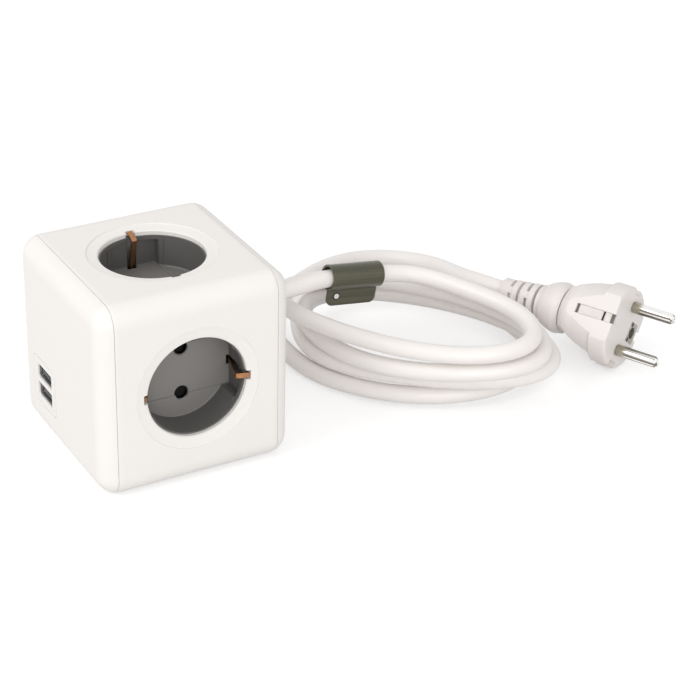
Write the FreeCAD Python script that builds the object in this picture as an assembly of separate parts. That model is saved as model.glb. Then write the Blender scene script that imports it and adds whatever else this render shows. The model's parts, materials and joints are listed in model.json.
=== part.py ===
import FreeCAD, Part
import math
import os

# Mains socket cube with four earthed round sockets, a two-port charger plate and a coiled lead.
# Millimetres. X runs to the right along the front face, Y to the back, Z up.
# The origin is the middle of the cube's underside, on the surface that it stands on.

Vector = FreeCAD.Vector

# Cube: a band with the four sockets, closed by a left and a right cap
CUBE_SIDE = 78.0
EDGE_RADIUS = 8.0
SHELL_WALL = 2.8
SEAM_INSET = 6.2
SEAM_GAP = 0.15
LIP_THICKNESS = 1.2
LIP_REACH = 2.0
LIP_CLEARANCE = 0.15

# Housing screws in the right cap and the posts that they bite into
POST_INSET = 10.0
POST_RADIUS = 3.3
POST_END_DEPTH = 10.0
SCREW_SHANK_RADIUS = 1.5
SCREW_SHANK_CLEARANCE = 0.05
SCREW_HEAD_RADIUS = 2.8
SCREW_HEAD_HEIGHT = 2.2
SCREW_BITE = 9.0
HEAD_SEAT_DEPTH = 4.4
HEAD_CLEARANCE = 0.35
BOSS_WALL = 1.3

# Proportions shared by every pan head screw
PAN_EDGE_SHARE = 0.6
PAN_TOP_SHARE = 0.75
DRIVE_RADIUS_SHARE = 0.45
DRIVE_DEPTH_SHARE = 0.6

# Socket faces
CUP_MOUTH_RADIUS = 19.6
CUP_DRAFT = 0.4
RIM_STEP = 0.6
RIM_ROUND = 0.4
RING_WIDTH = 4.6
DISH_STEP = 0.3
DISH_DEPTH = 0.9
CUP_FLOOR_DEPTH = 15.4
CUP_FLOOR_ROUND = 0.3
CUP_FLAT_HALF_WIDTH = 10.0
CUP_WALL = 1.5
CUP_FLOOR_THICKNESS = 2.0
CUP_BACK_CHAMFER = 1.2
FLANGE_WIDTH = 3.2
FLANGE_THICKNESS = 1.6
PIN_SPACING = 19.0
PIN_HOLE_RADIUS = 2.7
PIN_HOLE_CHAMFER = 0.4
PILLAR_OFFSET = 12.0
PILLAR_RADIUS = 2.2

# Earth clip of each socket
CLIP_WIDTH = 2.8
CLIP_THICKNESS = 0.8
CLIP_SLOT_CLEARANCE = 0.5
CLIP_WALL_INSET = 0.3
CLIP_NOSE_REACH = 3.4
CLIP_NOSE_DEPTH = 2.4
CLIP_TIP_CLEARANCE = 0.5
CLIP_TIP_DEPTH = 1.1
CLIP_ROOT_DROP = 0.2
CLIP_TIP_BEND = 0.9
CLIP_NOSE_BEND = 3.0
CLIP_STRAP_BEND = 1.0
NOTCH_REACH = 1.5

# Turning shutter behind each socket floor
SHUTTER_RADIUS = 13.4
SHUTTER_THICKNESS = 1.8
SHUTTER_CLEARANCE = 0.3
SHUTTER_TURN = 36.0
SHUTTER_WINDOW_RADIUS = 2.9
SHUTTER_WINDOW_BEVEL = 0.9
SHUTTER_HUB_WALL = 1.2
SHUTTER_HUB_STEP = 0.5
PIVOT_RADIUS = 2.0
PIVOT_CLEARANCE = 0.06
PIVOT_LENGTH = 2.8
SPRING_WIRE_RADIUS = 0.3
SPRING_RING_RADIUS = 4.4
SPRING_LEG_REACH = 11.0
SPRING_LEG_ANGLES = (0.0, 150.0)
SPRING_CLEARANCE = 0.15

# Contact block with its contacts and bars
STRAP_TO_BLOCK = 0.1
STRAP_TO_PIVOT = 0.5
BLOCK_HALF_WIDTH = 15.0
BLOCK_CHAMFER = 1.0
CONTACT_RADIUS = 3.4
CONTACT_BORE = 2.45
CONTACT_LENGTH = 9.0
CONTACT_CLEARANCE = 0.3
CONTACT_INSET = 0.5
CONTACT_SLIT = 0.8
CONTACT_ROOT_LENGTH = 3.0
CONTACT_LEAD_IN = 0.6
CONTACT_EDGE = 0.2
WELL_DEPTH = 13.6
BAR_THICKNESS = 0.8
BAR_WIDTH = 4.0
TONGUE_WIDTH = 3.2
TONGUE_CLEARANCE = 0.3
TONGUE_INSET = 5.4
LINK_WIDTH = 3.0
LINK_INSET = 5.0

# Charger plate, ports and board behind the left face
PLATE_POST_SPACING_Y = 13.2
PLATE_POST_SPACING_Z = 12.6
PLATE_WIDTH = 20.8
PLATE_HEIGHT = 19.2
PLATE_CORNER = 2.2
PLATE_GAP = 0.2
PLATE_FLANGE_MARGIN = 1.5
PLATE_FLANGE_THICKNESS = 1.2
PORT_SPACING = 7.9
PORT_WIDTH = 13.2
PORT_HEIGHT = 5.8
PORT_SHEET = 0.35
PORT_CORNER = 0.7
PORT_CLEARANCE = 0.1
PORT_MOUTH_INSET = 0.5
TONGUE_BOARD_WIDTH = 11.2
TONGUE_BOARD_HEIGHT = 1.9
TONGUE_BOARD_INSET = 1.2
TONGUE_BOARD_DROP = 1.0
TONGUE_ROOT = 3.0
BOARD_THICKNESS = 1.6
BOARD_CUP_GAP = 2.5
BOARD_FRONT_GAP = 1.6
BOARD_POST_GAP = 1.7
BOARD_FLOOR_GAP = 6.2
BOARD_ROOF_GAP = 11.2
STANDOFF_RADIUS = 2.8
STANDOFF_INSET = 5.0
STANDOFF_ROOF_INSET = 6.0
BOARD_SCREW_RADIUS = 1.0
BOARD_SCREW_HEAD_RADIUS = 1.9
BOARD_SCREW_HEAD = 1.2
BOARD_SCREW_LENGTH = 7.0
TRANSFORMER_WIDTH = 14.0
TRANSFORMER_HEIGHT = 13.0
TRANSFORMER_WALL_GAP = 2.0
TRANSFORMER_INSET_Y = 14.0
TRANSFORMER_INSET_Z = 18.0
TRANSFORMER_LEG = 3.0
BOBBIN_INSET = 1.0
BOBBIN_BOARD_GAP = 0.5
CAPACITOR_RADIUS = 3.6
CAPACITOR_WALL_GAP = 2.2
CAPACITOR_ROUND = 0.6
CAPACITOR_SPACINGS = [(15.0, 1.0), (-4.0, -18.0)]

# Cord, its gland in the right face and the clamp inside
CORD_DIAMETER = 7.2
GLAND_Y = 17.3
GLAND_Z = 39.0
GLAND_NECK_RADIUS = 5.6
GLAND_ROOT_RADIUS = 6.4
GLAND_TIP_RADIUS = 4.7
GLAND_LENGTH = 20.0
GLAND_FLANGE_RADIUS = 7.6
GLAND_FLANGE_THICKNESS = 1.6
GLAND_GROOVES = 4
GLAND_GROOVE_DEPTH = 0.8
GLAND_GROOVE_WIDTH = 1.6
CLAMP_LENGTH = 7.5
CLAMP_FLANGE_GAP = 0.6
CLAMP_HEIGHT = 24.0
CLAMP_BITE = 0.05
CLAMP_SPLIT = 0.8
CLAMP_THICKNESS = 5.4
CLAMP_SHELF_REACH = 6.3
CLAMP_FOOT_THICKNESS = 2.6
CLAMP_FOOT_REACH = 7.9
CLAMP_SCREW_OFFSET = 8.5
CLAMP_SCREW_RADIUS = 1.2
CLAMP_SCREW_HEAD_RADIUS = 2.2
CLAMP_SCREW_HEAD = 1.4
CLAMP_SCREW_LENGTH = 9.5

# Coil: turns of an ellipse that drifts as it comes down, the last turn swung to the back
COIL_CENTRE = (104.7, -4.6)
COIL_DRIFT = (5.7, -0.6)
COIL_LONG_HALF = 55.9
COIL_LONG_GROWTH = -0.7
COIL_SHORT_HALF = 28.5
COIL_SHORT_GROWTH = 1.7
COIL_SLANT = -54.0
COIL_SWING = (-7.2, 21.2)
COIL_SWING_START = 2.3
COIL_SWING_TURNS = 2.3
COIL_LONG_SWELL = 4.3
COIL_SHORT_SWELL = 9.0
COIL_PITCH = 8.0
COIL_START_TURN = 0.25
COIL_END_TURN = 3.75
COIL_STEPS_PER_TURN = 16

# Free stretches of the cord, by hand
LEAD_POINTS = [
    (68.0, 17.3, 39.0),
    (84.0, 17.5, 40.1),
    (112.0, 18.0, 36.0),
    (128.5, 13.5, 33.3),
]
TAIL_POINTS = [
    (74.0, 53.0, 3.6),
    (84.0, 67.0, 3.6),
    (99.0, 78.0, 3.6),
    (117.0, 88.5, 3.6),
    (133.5, 92.5, 3.6),
    (147.5, 90.0, 3.6),
    (158.5, 82.0, 4.2),
    (164.5, 69.5, 6.2),
    (165.0, 55.0, 9.8),
    (162.0, 39.5, 14.2),
]
CORD_END_RUN = 13.0
ARC_SHARE = 0.45

# Tag wrapped round the lead
TAG_START = 1.0
TAG_LENGTH = 24.0
TAG_EDGE = 0.5
TAG_THICKNESS = 0.8
TAG_CLEARANCE = 0.9
TAG_DROP = 7.0
TAG_FLAG_THICKNESS = 1.2
TAG_CORNER = 2.6
RIVET_RADIUS = 1.9
RIVET_BORE = 0.9
RIVET_WALL = 0.35
RIVET_CLEARANCE = 0.05
RIVET_HEAD = 0.4
RIVET_INSET = 4.2

# Plug: pins along its own X, side by side along its own Y
PLUG_FACE_CENTRE = (194.0, -39.4, 17.6)
PLUG_AXIS = (0.44, -0.898, 0.0)
PLUG_ROLL = 51.5
PLUG_PIN_RADIUS = 2.4
PLUG_PIN_LENGTH = 19.0
PLUG_PIN_ROOT = 8.0
PLUG_PIN_NECK = 0.4
PLUG_PIN_NECK_RADIUS = 2.0
PLUG_DRUM_RADIUS = 17.5
PLUG_DRUM_LENGTH = 8.0
PLUG_DRUM_ROUND = 1.5
PLUG_FLAT = 14.5
PLUG_STEP = 0.8
PLUG_SHOULDER_X = -18.5
PLUG_SHOULDER_RADIUS = 15.0
PLUG_SHOULDER_BULGE = 1.3
PLUG_GRIP_HALF_WIDTH = 15.0
PLUG_GRIP_MIDDLE = (-15.5, 13.2)
PLUG_GRIP_END_X = -23.0
PLUG_WAIST_X = -27.0
PLUG_WAIST_RADIUS = 8.8
PLUG_COLLAR_RADIUS = 11.0
PLUG_COLLAR_BACK_RADIUS = 8.6
PLUG_COLLAR_LENGTH = 10.0
PLUG_COLLAR_EDGE = 3.0
PLUG_COLLAR_STEP = 1.4
PLUG_COLLAR_BULGE = 0.5
PLUG_NOTCH_WIDTH = 6.0
PLUG_NOTCH_DEPTH = 3.0
PLUG_NOTCH_LENGTH = 10.0
PLUG_STRIP_WIDTH = 3.4
PLUG_STRIP_THICKNESS = 0.8
PLUG_STRIP_LIFT = 0.6
PLUG_STRIP_BENDS = [
    (-16.6, 0), (-15.6, 0), (-14.8, 1), (-6.4, 1),
    (-5.6, 0), (-4.6, 0), (-3.8, 1), (-1.4, 1), (-0.4, 0),
]
PLUG_STRIP_BEND_RADIUS = 0.5
PLUG_SLOT_WIDTH = 4.0
PLUG_SLOT_DEPTH = 2.2
PLUG_SLOT_LENGTH = 17.6
PLUG_EARTH_OFFSET = 8.0
PLUG_EARTH_PLATE = (1.2, 8.6, 7.8)
PLUG_EARTH_BORE = 2.5
PLUG_EARTH_BORE_DEPTH = 12.0
PLUG_EARTH_WALL = 0.6
RELIEF_LENGTH = 20.6
RELIEF_CORE_RADIUS = 4.3
RELIEF_ROOT_RADIUS = 7.4
RELIEF_TIP_RADIUS = 5.4
RELIEF_RINGS = 5
RELIEF_RING_SHARE = 0.62
RELIEF_BRIDGE_WIDTH = 3.0
RELIEF_BRIDGE_INSET = 0.5

# Conductors from the cut end of the jacket to the bars and the back socket's earth clip
WIRE_RADIUS = 1.1
WIRE_BAR_ROOM = 4.7
WIRE_STUB_ROOM = 4.0
WIRE_SETBACK = 2.4
WIRE_BLOCK_GAP = 0.7
WIRE_PILLAR_GAP = 0.5
EARTH_WIRE_OFFSET = (2.0, 0.0)
LIVE_WIRE_OFFSET = (-1.1, 1.8)
NEUTRAL_WIRE_OFFSET = (-1.1, -1.8)
LIVE_WIRE_END_Y = 11.0
NEUTRAL_WIRE_END_Y = -11.0

HALF = CUBE_SIDE / 2
MIDDLE_Z = CUBE_SIDE / 2
INNER_HALF = HALF - SHELL_WALL
CORD_RADIUS = CORD_DIAMETER / 2
PIN_OFFSET = PIN_SPACING / 2
CUP_BACK_DEPTH = CUP_FLOOR_DEPTH + CUP_FLOOR_THICKNESS
CUP_FLOOR_RADIUS = CUP_MOUTH_RADIUS - CUP_DRAFT
CUP_OUTER_RADIUS = CUP_MOUTH_RADIUS + CUP_WALL
RIM_RADIUS = CUP_MOUTH_RADIUS + RIM_STEP
RING_RADIUS = RIM_RADIUS + RING_WIDTH
FLANGE_RADIUS = RIM_RADIUS + FLANGE_WIDTH
NOTCH_RADIUS = RIM_RADIUS + NOTCH_REACH
CLIP_WALL_RADIUS = CUP_MOUTH_RADIUS + CLIP_WALL_INSET
CLIP_NOSE_RADIUS = CUP_MOUTH_RADIUS - CLIP_NOSE_REACH
CLIP_TIP_RADIUS = NOTCH_RADIUS - CLIP_TIP_CLEARANCE
CLIP_ROOT_DEPTH = CUP_FLOOR_DEPTH + CLIP_ROOT_DROP
PIVOT_END_DEPTH = CUP_BACK_DEPTH + PIVOT_LENGTH
STRAP_DEPTH = PIVOT_END_DEPTH + STRAP_TO_PIVOT + CLIP_THICKNESS / 2
BLOCK_DEPTH = STRAP_DEPTH + CLIP_THICKNESS / 2 + STRAP_TO_BLOCK
BLOCK_HALF = HALF - BLOCK_DEPTH
TONGUE_OFFSET = BLOCK_HALF - TONGUE_INSET
BAR_FACE_X = BLOCK_HALF_WIDTH + BAR_THICKNESS

# Posts, and the charger's plate and board placed from them, from the cups and from the walls
POST_OFFSET = HALF - POST_INSET
PLATE_CENTRE_Y = POST_OFFSET - PLATE_POST_SPACING_Y
PLATE_CENTRE_Z = MIDDLE_Z - POST_OFFSET + PLATE_POST_SPACING_Z
BOARD_FACE_X = -(CUP_OUTER_RADIUS + BOARD_CUP_GAP + BOARD_THICKNESS)
BOARD_LOW_Y = -(HALF - CUP_BACK_DEPTH - BOARD_FRONT_GAP)
BOARD_HIGH_Y = POST_OFFSET - POST_RADIUS - BOARD_POST_GAP
BOARD_LOW_Z = SHELL_WALL + BOARD_FLOOR_GAP
BOARD_HIGH_Z = CUBE_SIDE - SHELL_WALL - BOARD_ROOF_GAP
STANDOFF_PLACES = [
    (BOARD_LOW_Y + STANDOFF_INSET, BOARD_LOW_Z + STANDOFF_INSET),
    (BOARD_HIGH_Y - STANDOFF_INSET, BOARD_HIGH_Z - STANDOFF_ROOF_INSET),
]
TRANSFORMER_Y = BOARD_LOW_Y + TRANSFORMER_INSET_Y
TRANSFORMER_Z = BOARD_HIGH_Z - TRANSFORMER_INSET_Z
TRANSFORMER_DEPTH = INNER_HALF + BOARD_FACE_X - TRANSFORMER_WALL_GAP
CAPACITOR_HEIGHT = INNER_HALF + BOARD_FACE_X - CAPACITOR_WALL_GAP

# Clamp behind the gland, and the wires from the jacket's cut end
CLAMP_NEAR_X = INNER_HALF - GLAND_FLANGE_THICKNESS - CLAMP_FLANGE_GAP - CLAMP_LENGTH
CLAMP_SHELF_BACK = GLAND_Y + CLAMP_SHELF_REACH
CLAMP_FOOT_BACK = GLAND_Y + CLAMP_FOOT_REACH
WIRE_BEND_X = BAR_FACE_X + WIRE_BAR_ROOM
STUB_END_X = WIRE_BEND_X + WIRE_STUB_ROOM
WIRE_CROSSING_Y = -(BLOCK_HALF + WIRE_BLOCK_GAP + WIRE_RADIUS)
WIRE_CROSSING_Z = MIDDLE_Z - PILLAR_OFFSET - PILLAR_RADIUS - WIRE_PILLAR_GAP - WIRE_RADIUS


def box(low, high):
    size = Vector(*high).sub(Vector(*low))
    return Part.makeBox(size.x, size.y, size.z, Vector(*low))


def cylinder(radius, start, end):
    axis = Vector(*end).sub(Vector(*start))
    return Part.makeCylinder(radius, axis.Length, Vector(*start), axis)


def cone(start_radius, end_radius, start, end):
    axis = Vector(*end).sub(Vector(*start))
    return Part.makeCone(start_radius, end_radius, axis.Length, Vector(*start), axis)


def revolved(profile):
    """Solid of revolution about local Z from (radius, height) corners."""
    points = [Vector(radius, 0, height) for radius, height in profile]
    face = Part.Face(Part.makePolygon(points + [points[0]]))
    return face.revolve(Vector(0, 0, 0), Vector(0, 0, 1), 360)


def joined(solids):
    whole = solids[0]
    for solid in solids[1:]:
        whole = whole.fuse(solid)
    return whole.removeSplitter()


def rounded_cube(inset):
    """The cube's outer form, drawn in by an even distance."""
    low = (-HALF + inset, -HALF + inset, inset)
    high = (HALF - inset, HALF - inset, CUBE_SIDE - inset)
    solid = box(low, high)
    return solid.makeFillet(EDGE_RADIUS - inset, solid.Edges)


def rounded_plate(centre_y, centre_z, width, height, corner, low_x, high_x):
    """Plate square to X with rounded corners."""
    low = (low_x, centre_y - width / 2, centre_z - height / 2)
    high = (high_x, centre_y + width / 2, centre_z + height / 2)
    solid = box(low, high)
    corners = [edge for edge in solid.Edges if abs(edge.tangentAt(edge.FirstParameter).x) > 0.9]
    return solid.makeFillet(corner, corners)


def tangent_path(points, longest_setback=CUBE_SIDE):
    """Straight runs joined by tangent arcs, with the arc radii."""
    points = [Vector(*point) for point in points]
    edges = []
    radii = []
    start = points[0]
    for before, corner, after in zip(points, points[1:], points[2:]):
        back = before.sub(corner)
        ahead = after.sub(corner)
        setback = min(ARC_SHARE * min(back.Length, ahead.Length), longest_setback)
        half_turn = (math.pi - back.getAngle(ahead)) / 2
        radius = setback / math.tan(half_turn)
        radii.append(radius)
        arc_start = corner.add(back.normalize().multiply(setback))
        arc_end = corner.add(ahead.normalize().multiply(setback))
        inward = arc_start.add(arc_end).multiply(0.5).sub(corner).normalize()
        centre = corner.add(inward.multiply(math.hypot(radius, setback)))
        to_corner = corner.sub(centre).normalize().multiply(radius)
        edges.append(Part.LineSegment(start, arc_start).toShape())
        edges.append(Part.Arc(arc_start, centre.add(to_corner), arc_end).toShape())
        start = arc_end
    edges.append(Part.LineSegment(start, points[-1]).toShape())
    return Part.Wire(edges), radii


def tube(path, radius):
    """Round rod along a path."""
    first = path.Edges[0]
    start = first.valueAt(first.FirstParameter)
    direction = first.tangentAt(first.FirstParameter)
    circle = Part.Wire(Part.makeCircle(radius, start, direction))
    return path.makePipeShell([circle], True, False)


def ribbon(points, radii, thickness, width):
    """Bent strip: its side view lies in local X and Z, its width is centred on Y."""
    sides = []
    for offset in (thickness / 2, -thickness / 2):
        sides.append(offset_line(points, radii, offset))
    forward, back = sides
    ends = [(forward[-1][-1], back[-1][-1]), (back[0][0], forward[0][0])]
    edges = [curve_edge(piece) for piece in forward]
    edges.append(Part.LineSegment(*ends[0]).toShape())
    edges += [curve_edge(piece[::-1]) for piece in reversed(back)]
    edges.append(Part.LineSegment(*ends[1]).toShape())
    face = Part.Face(Part.Wire(edges))
    face.translate(Vector(0, -width / 2, 0))
    return face.extrude(Vector(0, width, 0))


def curve_edge(piece):
    if len(piece) == 2:
        return Part.LineSegment(*piece).toShape()
    return Part.Arc(*piece).toShape()


def offset_line(points, radii, offset):
    """Lines and arcs beside a path with rounded corners, at a signed distance."""
    points = [Vector(x, 0, z) for x, z in points]
    pieces = []
    heading = points[1].sub(points[0]).normalize()
    start = points[0].add(left_of(heading).multiply(offset))
    for corner, after, radius in zip(points[1:], points[2:], radii):
        next_heading = after.sub(corner).normalize()
        turn = math.atan2(heading.x * next_heading.z - heading.z * next_heading.x,
                          heading.dot(next_heading))
        setback = radius * math.tan(abs(turn) / 2)
        side = math.copysign(1, turn)
        arc_start = corner.sub(Vector(heading).multiply(setback))
        centre = arc_start.add(left_of(heading).multiply(side * radius))
        reach = radius - side * offset
        first = centre.sub(left_of(heading).multiply(side * reach))
        middle_heading = heading.add(next_heading).normalize()
        middle = centre.sub(left_of(middle_heading).multiply(side * reach))
        last = centre.sub(left_of(next_heading).multiply(side * reach))
        pieces.append([start, first])
        pieces.append([first, middle, last])
        start = last
        heading = next_heading
    pieces.append([start, points[-1].add(left_of(heading).multiply(offset))])
    return pieces


def left_of(heading):
    return Vector(-heading.z, 0, heading.x)


# Each socket is drawn with its own Z pointing out of its face, its pins side by side along
# its own Y and its earth clips along its own X. The pins of neighbouring sockets are crossed.
SOCKET_FRAMES = {
    "front": FreeCAD.Placement(
        Vector(0, -HALF, MIDDLE_Z),
        FreeCAD.Rotation(Vector(1, 0, 0), Vector(0, 0, 1), Vector(0, -1, 0), "ZXY")),
    "top": FreeCAD.Placement(
        Vector(0, 0, CUBE_SIDE),
        FreeCAD.Rotation(Vector(0, 1, 0), Vector(-1, 0, 0), Vector(0, 0, 1), "ZXY")),
    "back": FreeCAD.Placement(
        Vector(0, HALF, MIDDLE_Z),
        FreeCAD.Rotation(Vector(-1, 0, 0), Vector(0, 0, 1), Vector(0, 1, 0), "ZXY")),
    "bottom": FreeCAD.Placement(
        Vector(0, 0, 0), FreeCAD.Rotation(Vector(0, 1, 0), Vector(1, 0, 0), Vector(0, 0, -1), "ZXY")),
}


def placed(solid, frame):
    copy = solid.copy()
    copy.Placement = frame.multiply(copy.Placement)
    return copy


def socket_opening():
    """Dished ring, round rim and clip notches, cut from the shell wall."""
    reach = 1.0
    dish = revolved([
        (0, reach), (RING_RADIUS, reach), (RING_RADIUS, -DISH_STEP),
        (RIM_RADIUS + RIM_ROUND, -DISH_DEPTH), (RIM_RADIUS, -DISH_DEPTH - RIM_ROUND),
        (RIM_RADIUS, -SHELL_WALL - reach), (0, -SHELL_WALL - reach),
    ])
    half = (CLIP_WIDTH + CLIP_SLOT_CLEARANCE * 2) / 2
    notch = box((-NOTCH_RADIUS, -half, -SHELL_WALL - reach), (NOTCH_RADIUS, half, reach))
    return joined([dish, notch])


def side_slab(side, near, far):
    """Slab square to X between two distances from the middle plane."""
    low, high = sorted((side * near, side * far))
    return box((low, -CUBE_SIDE, -CUBE_SIDE), (high, CUBE_SIDE, CUBE_SIDE * 2))


def post_places():
    return [(y, MIDDLE_Z + rise) for y in (-POST_OFFSET, POST_OFFSET) for rise in (-POST_OFFSET, POST_OFFSET)]


def shells():
    """Band, left cap and right cap. Each cap has a lip that slides into the band."""
    inner = rounded_cube(SHELL_WALL)
    wall = rounded_cube(0).cut(inner)
    lip_layer = rounded_cube(SHELL_WALL - LIP_THICKNESS).cut(inner)
    rebate_layer = rounded_cube(SHELL_WALL - LIP_THICKNESS - LIP_CLEARANCE).cut(inner)
    seam = HALF - SEAM_INSET
    band = wall
    caps = []
    for side in (-1, 1):
        band = band.cut(side_slab(side, seam - SEAM_GAP / 2, CUBE_SIDE))
        band = band.cut(rebate_layer.common(side_slab(side, seam - LIP_REACH - LIP_CLEARANCE, CUBE_SIDE)))
        lip = lip_layer.common(side_slab(side, seam - LIP_REACH, seam + SEAM_GAP))
        caps.append(wall.common(side_slab(side, seam + SEAM_GAP / 2, CUBE_SIDE)).fuse(lip))
    opening = socket_opening()
    for frame in SOCKET_FRAMES.values():
        band = band.cut(placed(opening, frame))
    left, right = caps
    head_radius = SCREW_HEAD_RADIUS + HEAD_CLEARANCE
    post_end = HALF - POST_END_DEPTH
    for y, z in post_places():
        post = cylinder(POST_RADIUS, (-HALF + SHELL_WALL / 2, y, z), (post_end, y, z))
        boss = cylinder(head_radius + BOSS_WALL, (post_end, y, z), (HALF - SHELL_WALL / 2, y, z))
        pilot = cylinder(SCREW_SHANK_RADIUS + SCREW_SHANK_CLEARANCE,
                         (post_end - SCREW_BITE, y, z), (HALF, y, z))
        counterbore = cylinder(head_radius, (HALF - HEAD_SEAT_DEPTH, y, z), (HALF + 1, y, z))
        left = left.fuse(post).cut(pilot)
        right = right.fuse(boss).cut(pilot).cut(counterbore)
    left = left.cut(plate_outline(PLATE_GAP, -HALF - 1, -INNER_HALF + 1))
    for y, z in STANDOFF_PLACES:
        standoff = cylinder(STANDOFF_RADIUS, (-HALF + SHELL_WALL / 2, y, z), (BOARD_FACE_X, y, z))
        pilot = cylinder(BOARD_SCREW_RADIUS + SCREW_SHANK_CLEARANCE,
                         (BOARD_FACE_X - BOARD_SCREW_LENGTH, y, z), (BOARD_FACE_X, y, z))
        left = left.fuse(standoff).cut(pilot)
    gland_hole = cylinder(GLAND_NECK_RADIUS, (INNER_HALF - 1, GLAND_Y, GLAND_Z), (HALF + 1, GLAND_Y, GLAND_Z))
    right = right.fuse(clamp_shelf()).cut(gland_hole)
    return band.removeSplitter(), left.removeSplitter(), right.removeSplitter()


def clamp_shelf():
    """Half-round saddle inside the right wall, which the cord is clamped on."""
    shelf = box((CLAMP_NEAR_X, GLAND_Y + CLAMP_SPLIT / 2, GLAND_Z - CLAMP_HEIGHT / 2),
                (CLAMP_NEAR_X + CLAMP_LENGTH, CLAMP_SHELF_BACK, GLAND_Z + CLAMP_HEIGHT / 2))
    foot = box((CLAMP_NEAR_X, CLAMP_FOOT_BACK - CLAMP_FOOT_THICKNESS, GLAND_Z - CLAMP_HEIGHT / 2),
               (INNER_HALF + SHELL_WALL / 2, CLAMP_FOOT_BACK, GLAND_Z + CLAMP_HEIGHT / 2))
    groove = cylinder(CORD_RADIUS + CLAMP_BITE,
                      (CLAMP_NEAR_X - 1, GLAND_Y, GLAND_Z), (INNER_HALF, GLAND_Y, GLAND_Z))
    flange_face = INNER_HALF - GLAND_FLANGE_THICKNESS - CLAMP_BITE
    flange_pocket = cylinder(GLAND_FLANGE_RADIUS + CLAMP_BITE,
                             (flange_face, GLAND_Y, GLAND_Z), (INNER_HALF, GLAND_Y, GLAND_Z))
    solid = shelf.fuse(foot).cut(groove).cut(flange_pocket)
    for z in clamp_screw_heights():
        x = CLAMP_NEAR_X + CLAMP_LENGTH / 2
        start = GLAND_Y - CLAMP_THICKNESS
        pilot = cylinder(CLAMP_SCREW_RADIUS + SCREW_SHANK_CLEARANCE,
                         (x, start, z), (x, start + CLAMP_SCREW_LENGTH, z))
        solid = solid.cut(pilot)
    return solid


def clamp_screw_heights():
    return (GLAND_Z - CLAMP_SCREW_OFFSET, GLAND_Z + CLAMP_SCREW_OFFSET)


def cord_clamp():
    """Bar that presses the cord onto its saddle."""
    x_middle = CLAMP_NEAR_X + CLAMP_LENGTH / 2
    bar = box((CLAMP_NEAR_X, GLAND_Y - CLAMP_THICKNESS, GLAND_Z - CLAMP_HEIGHT / 2),
              (CLAMP_NEAR_X + CLAMP_LENGTH, GLAND_Y - CLAMP_SPLIT / 2, GLAND_Z + CLAMP_HEIGHT / 2))
    groove = cylinder(CORD_RADIUS + CLAMP_BITE,
                      (CLAMP_NEAR_X - 1, GLAND_Y, GLAND_Z), (HALF, GLAND_Y, GLAND_Z))
    bar = bar.cut(groove)
    for z in clamp_screw_heights():
        hole = cylinder(CLAMP_SCREW_RADIUS + SCREW_SHANK_CLEARANCE, (x_middle, 0, z), (x_middle, GLAND_Y, z))
        bar = bar.cut(hole)
    return bar


def pan_screw(shank_radius, head_radius, head_height, length):
    """Screw with its head's seat at the origin and its shank along +Z."""
    head = revolved([
        (0, 0), (head_radius, 0), (head_radius, -head_height * PAN_EDGE_SHARE),
        (head_radius * PAN_TOP_SHARE, -head_height), (0, -head_height),
    ])
    shank = Part.makeCylinder(shank_radius, length)
    drive = Part.makeCylinder(head_radius * DRIVE_RADIUS_SHARE, head_height * DRIVE_DEPTH_SHARE,
                              Vector(0, 0, -head_height))
    return head.fuse(shank).cut(drive).removeSplitter()


def turned(solid, axis, place):
    """Copy of a solid drawn along +Z, set down along another axis."""
    copy = solid.copy()
    copy.Placement = FreeCAD.Placement(Vector(*place), FreeCAD.Rotation(Vector(0, 0, 1), Vector(*axis)))
    return copy


def housing_screws():
    length = POST_END_DEPTH - HEAD_SEAT_DEPTH + SCREW_BITE - 1.0
    screw = pan_screw(SCREW_SHANK_RADIUS, SCREW_HEAD_RADIUS, SCREW_HEAD_HEIGHT, length)
    return [turned(screw, (-1, 0, 0), (HALF - HEAD_SEAT_DEPTH, y, z)) for y, z in post_places()]


def clamp_screws():
    screw = pan_screw(CLAMP_SCREW_RADIUS, CLAMP_SCREW_HEAD_RADIUS, CLAMP_SCREW_HEAD, CLAMP_SCREW_LENGTH - 1.0)
    x = CLAMP_NEAR_X + CLAMP_LENGTH / 2
    return [turned(screw, (0, 1, 0), (x, GLAND_Y - CLAMP_THICKNESS, z)) for z in clamp_screw_heights()]


def board_screws():
    screw = pan_screw(BOARD_SCREW_RADIUS, BOARD_SCREW_HEAD_RADIUS, BOARD_SCREW_HEAD, BOARD_SCREW_LENGTH)
    return [turned(screw, (-1, 0, 0), (BOARD_FACE_X + BOARD_THICKNESS, y, z)) for y, z in STANDOFF_PLACES]


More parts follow.
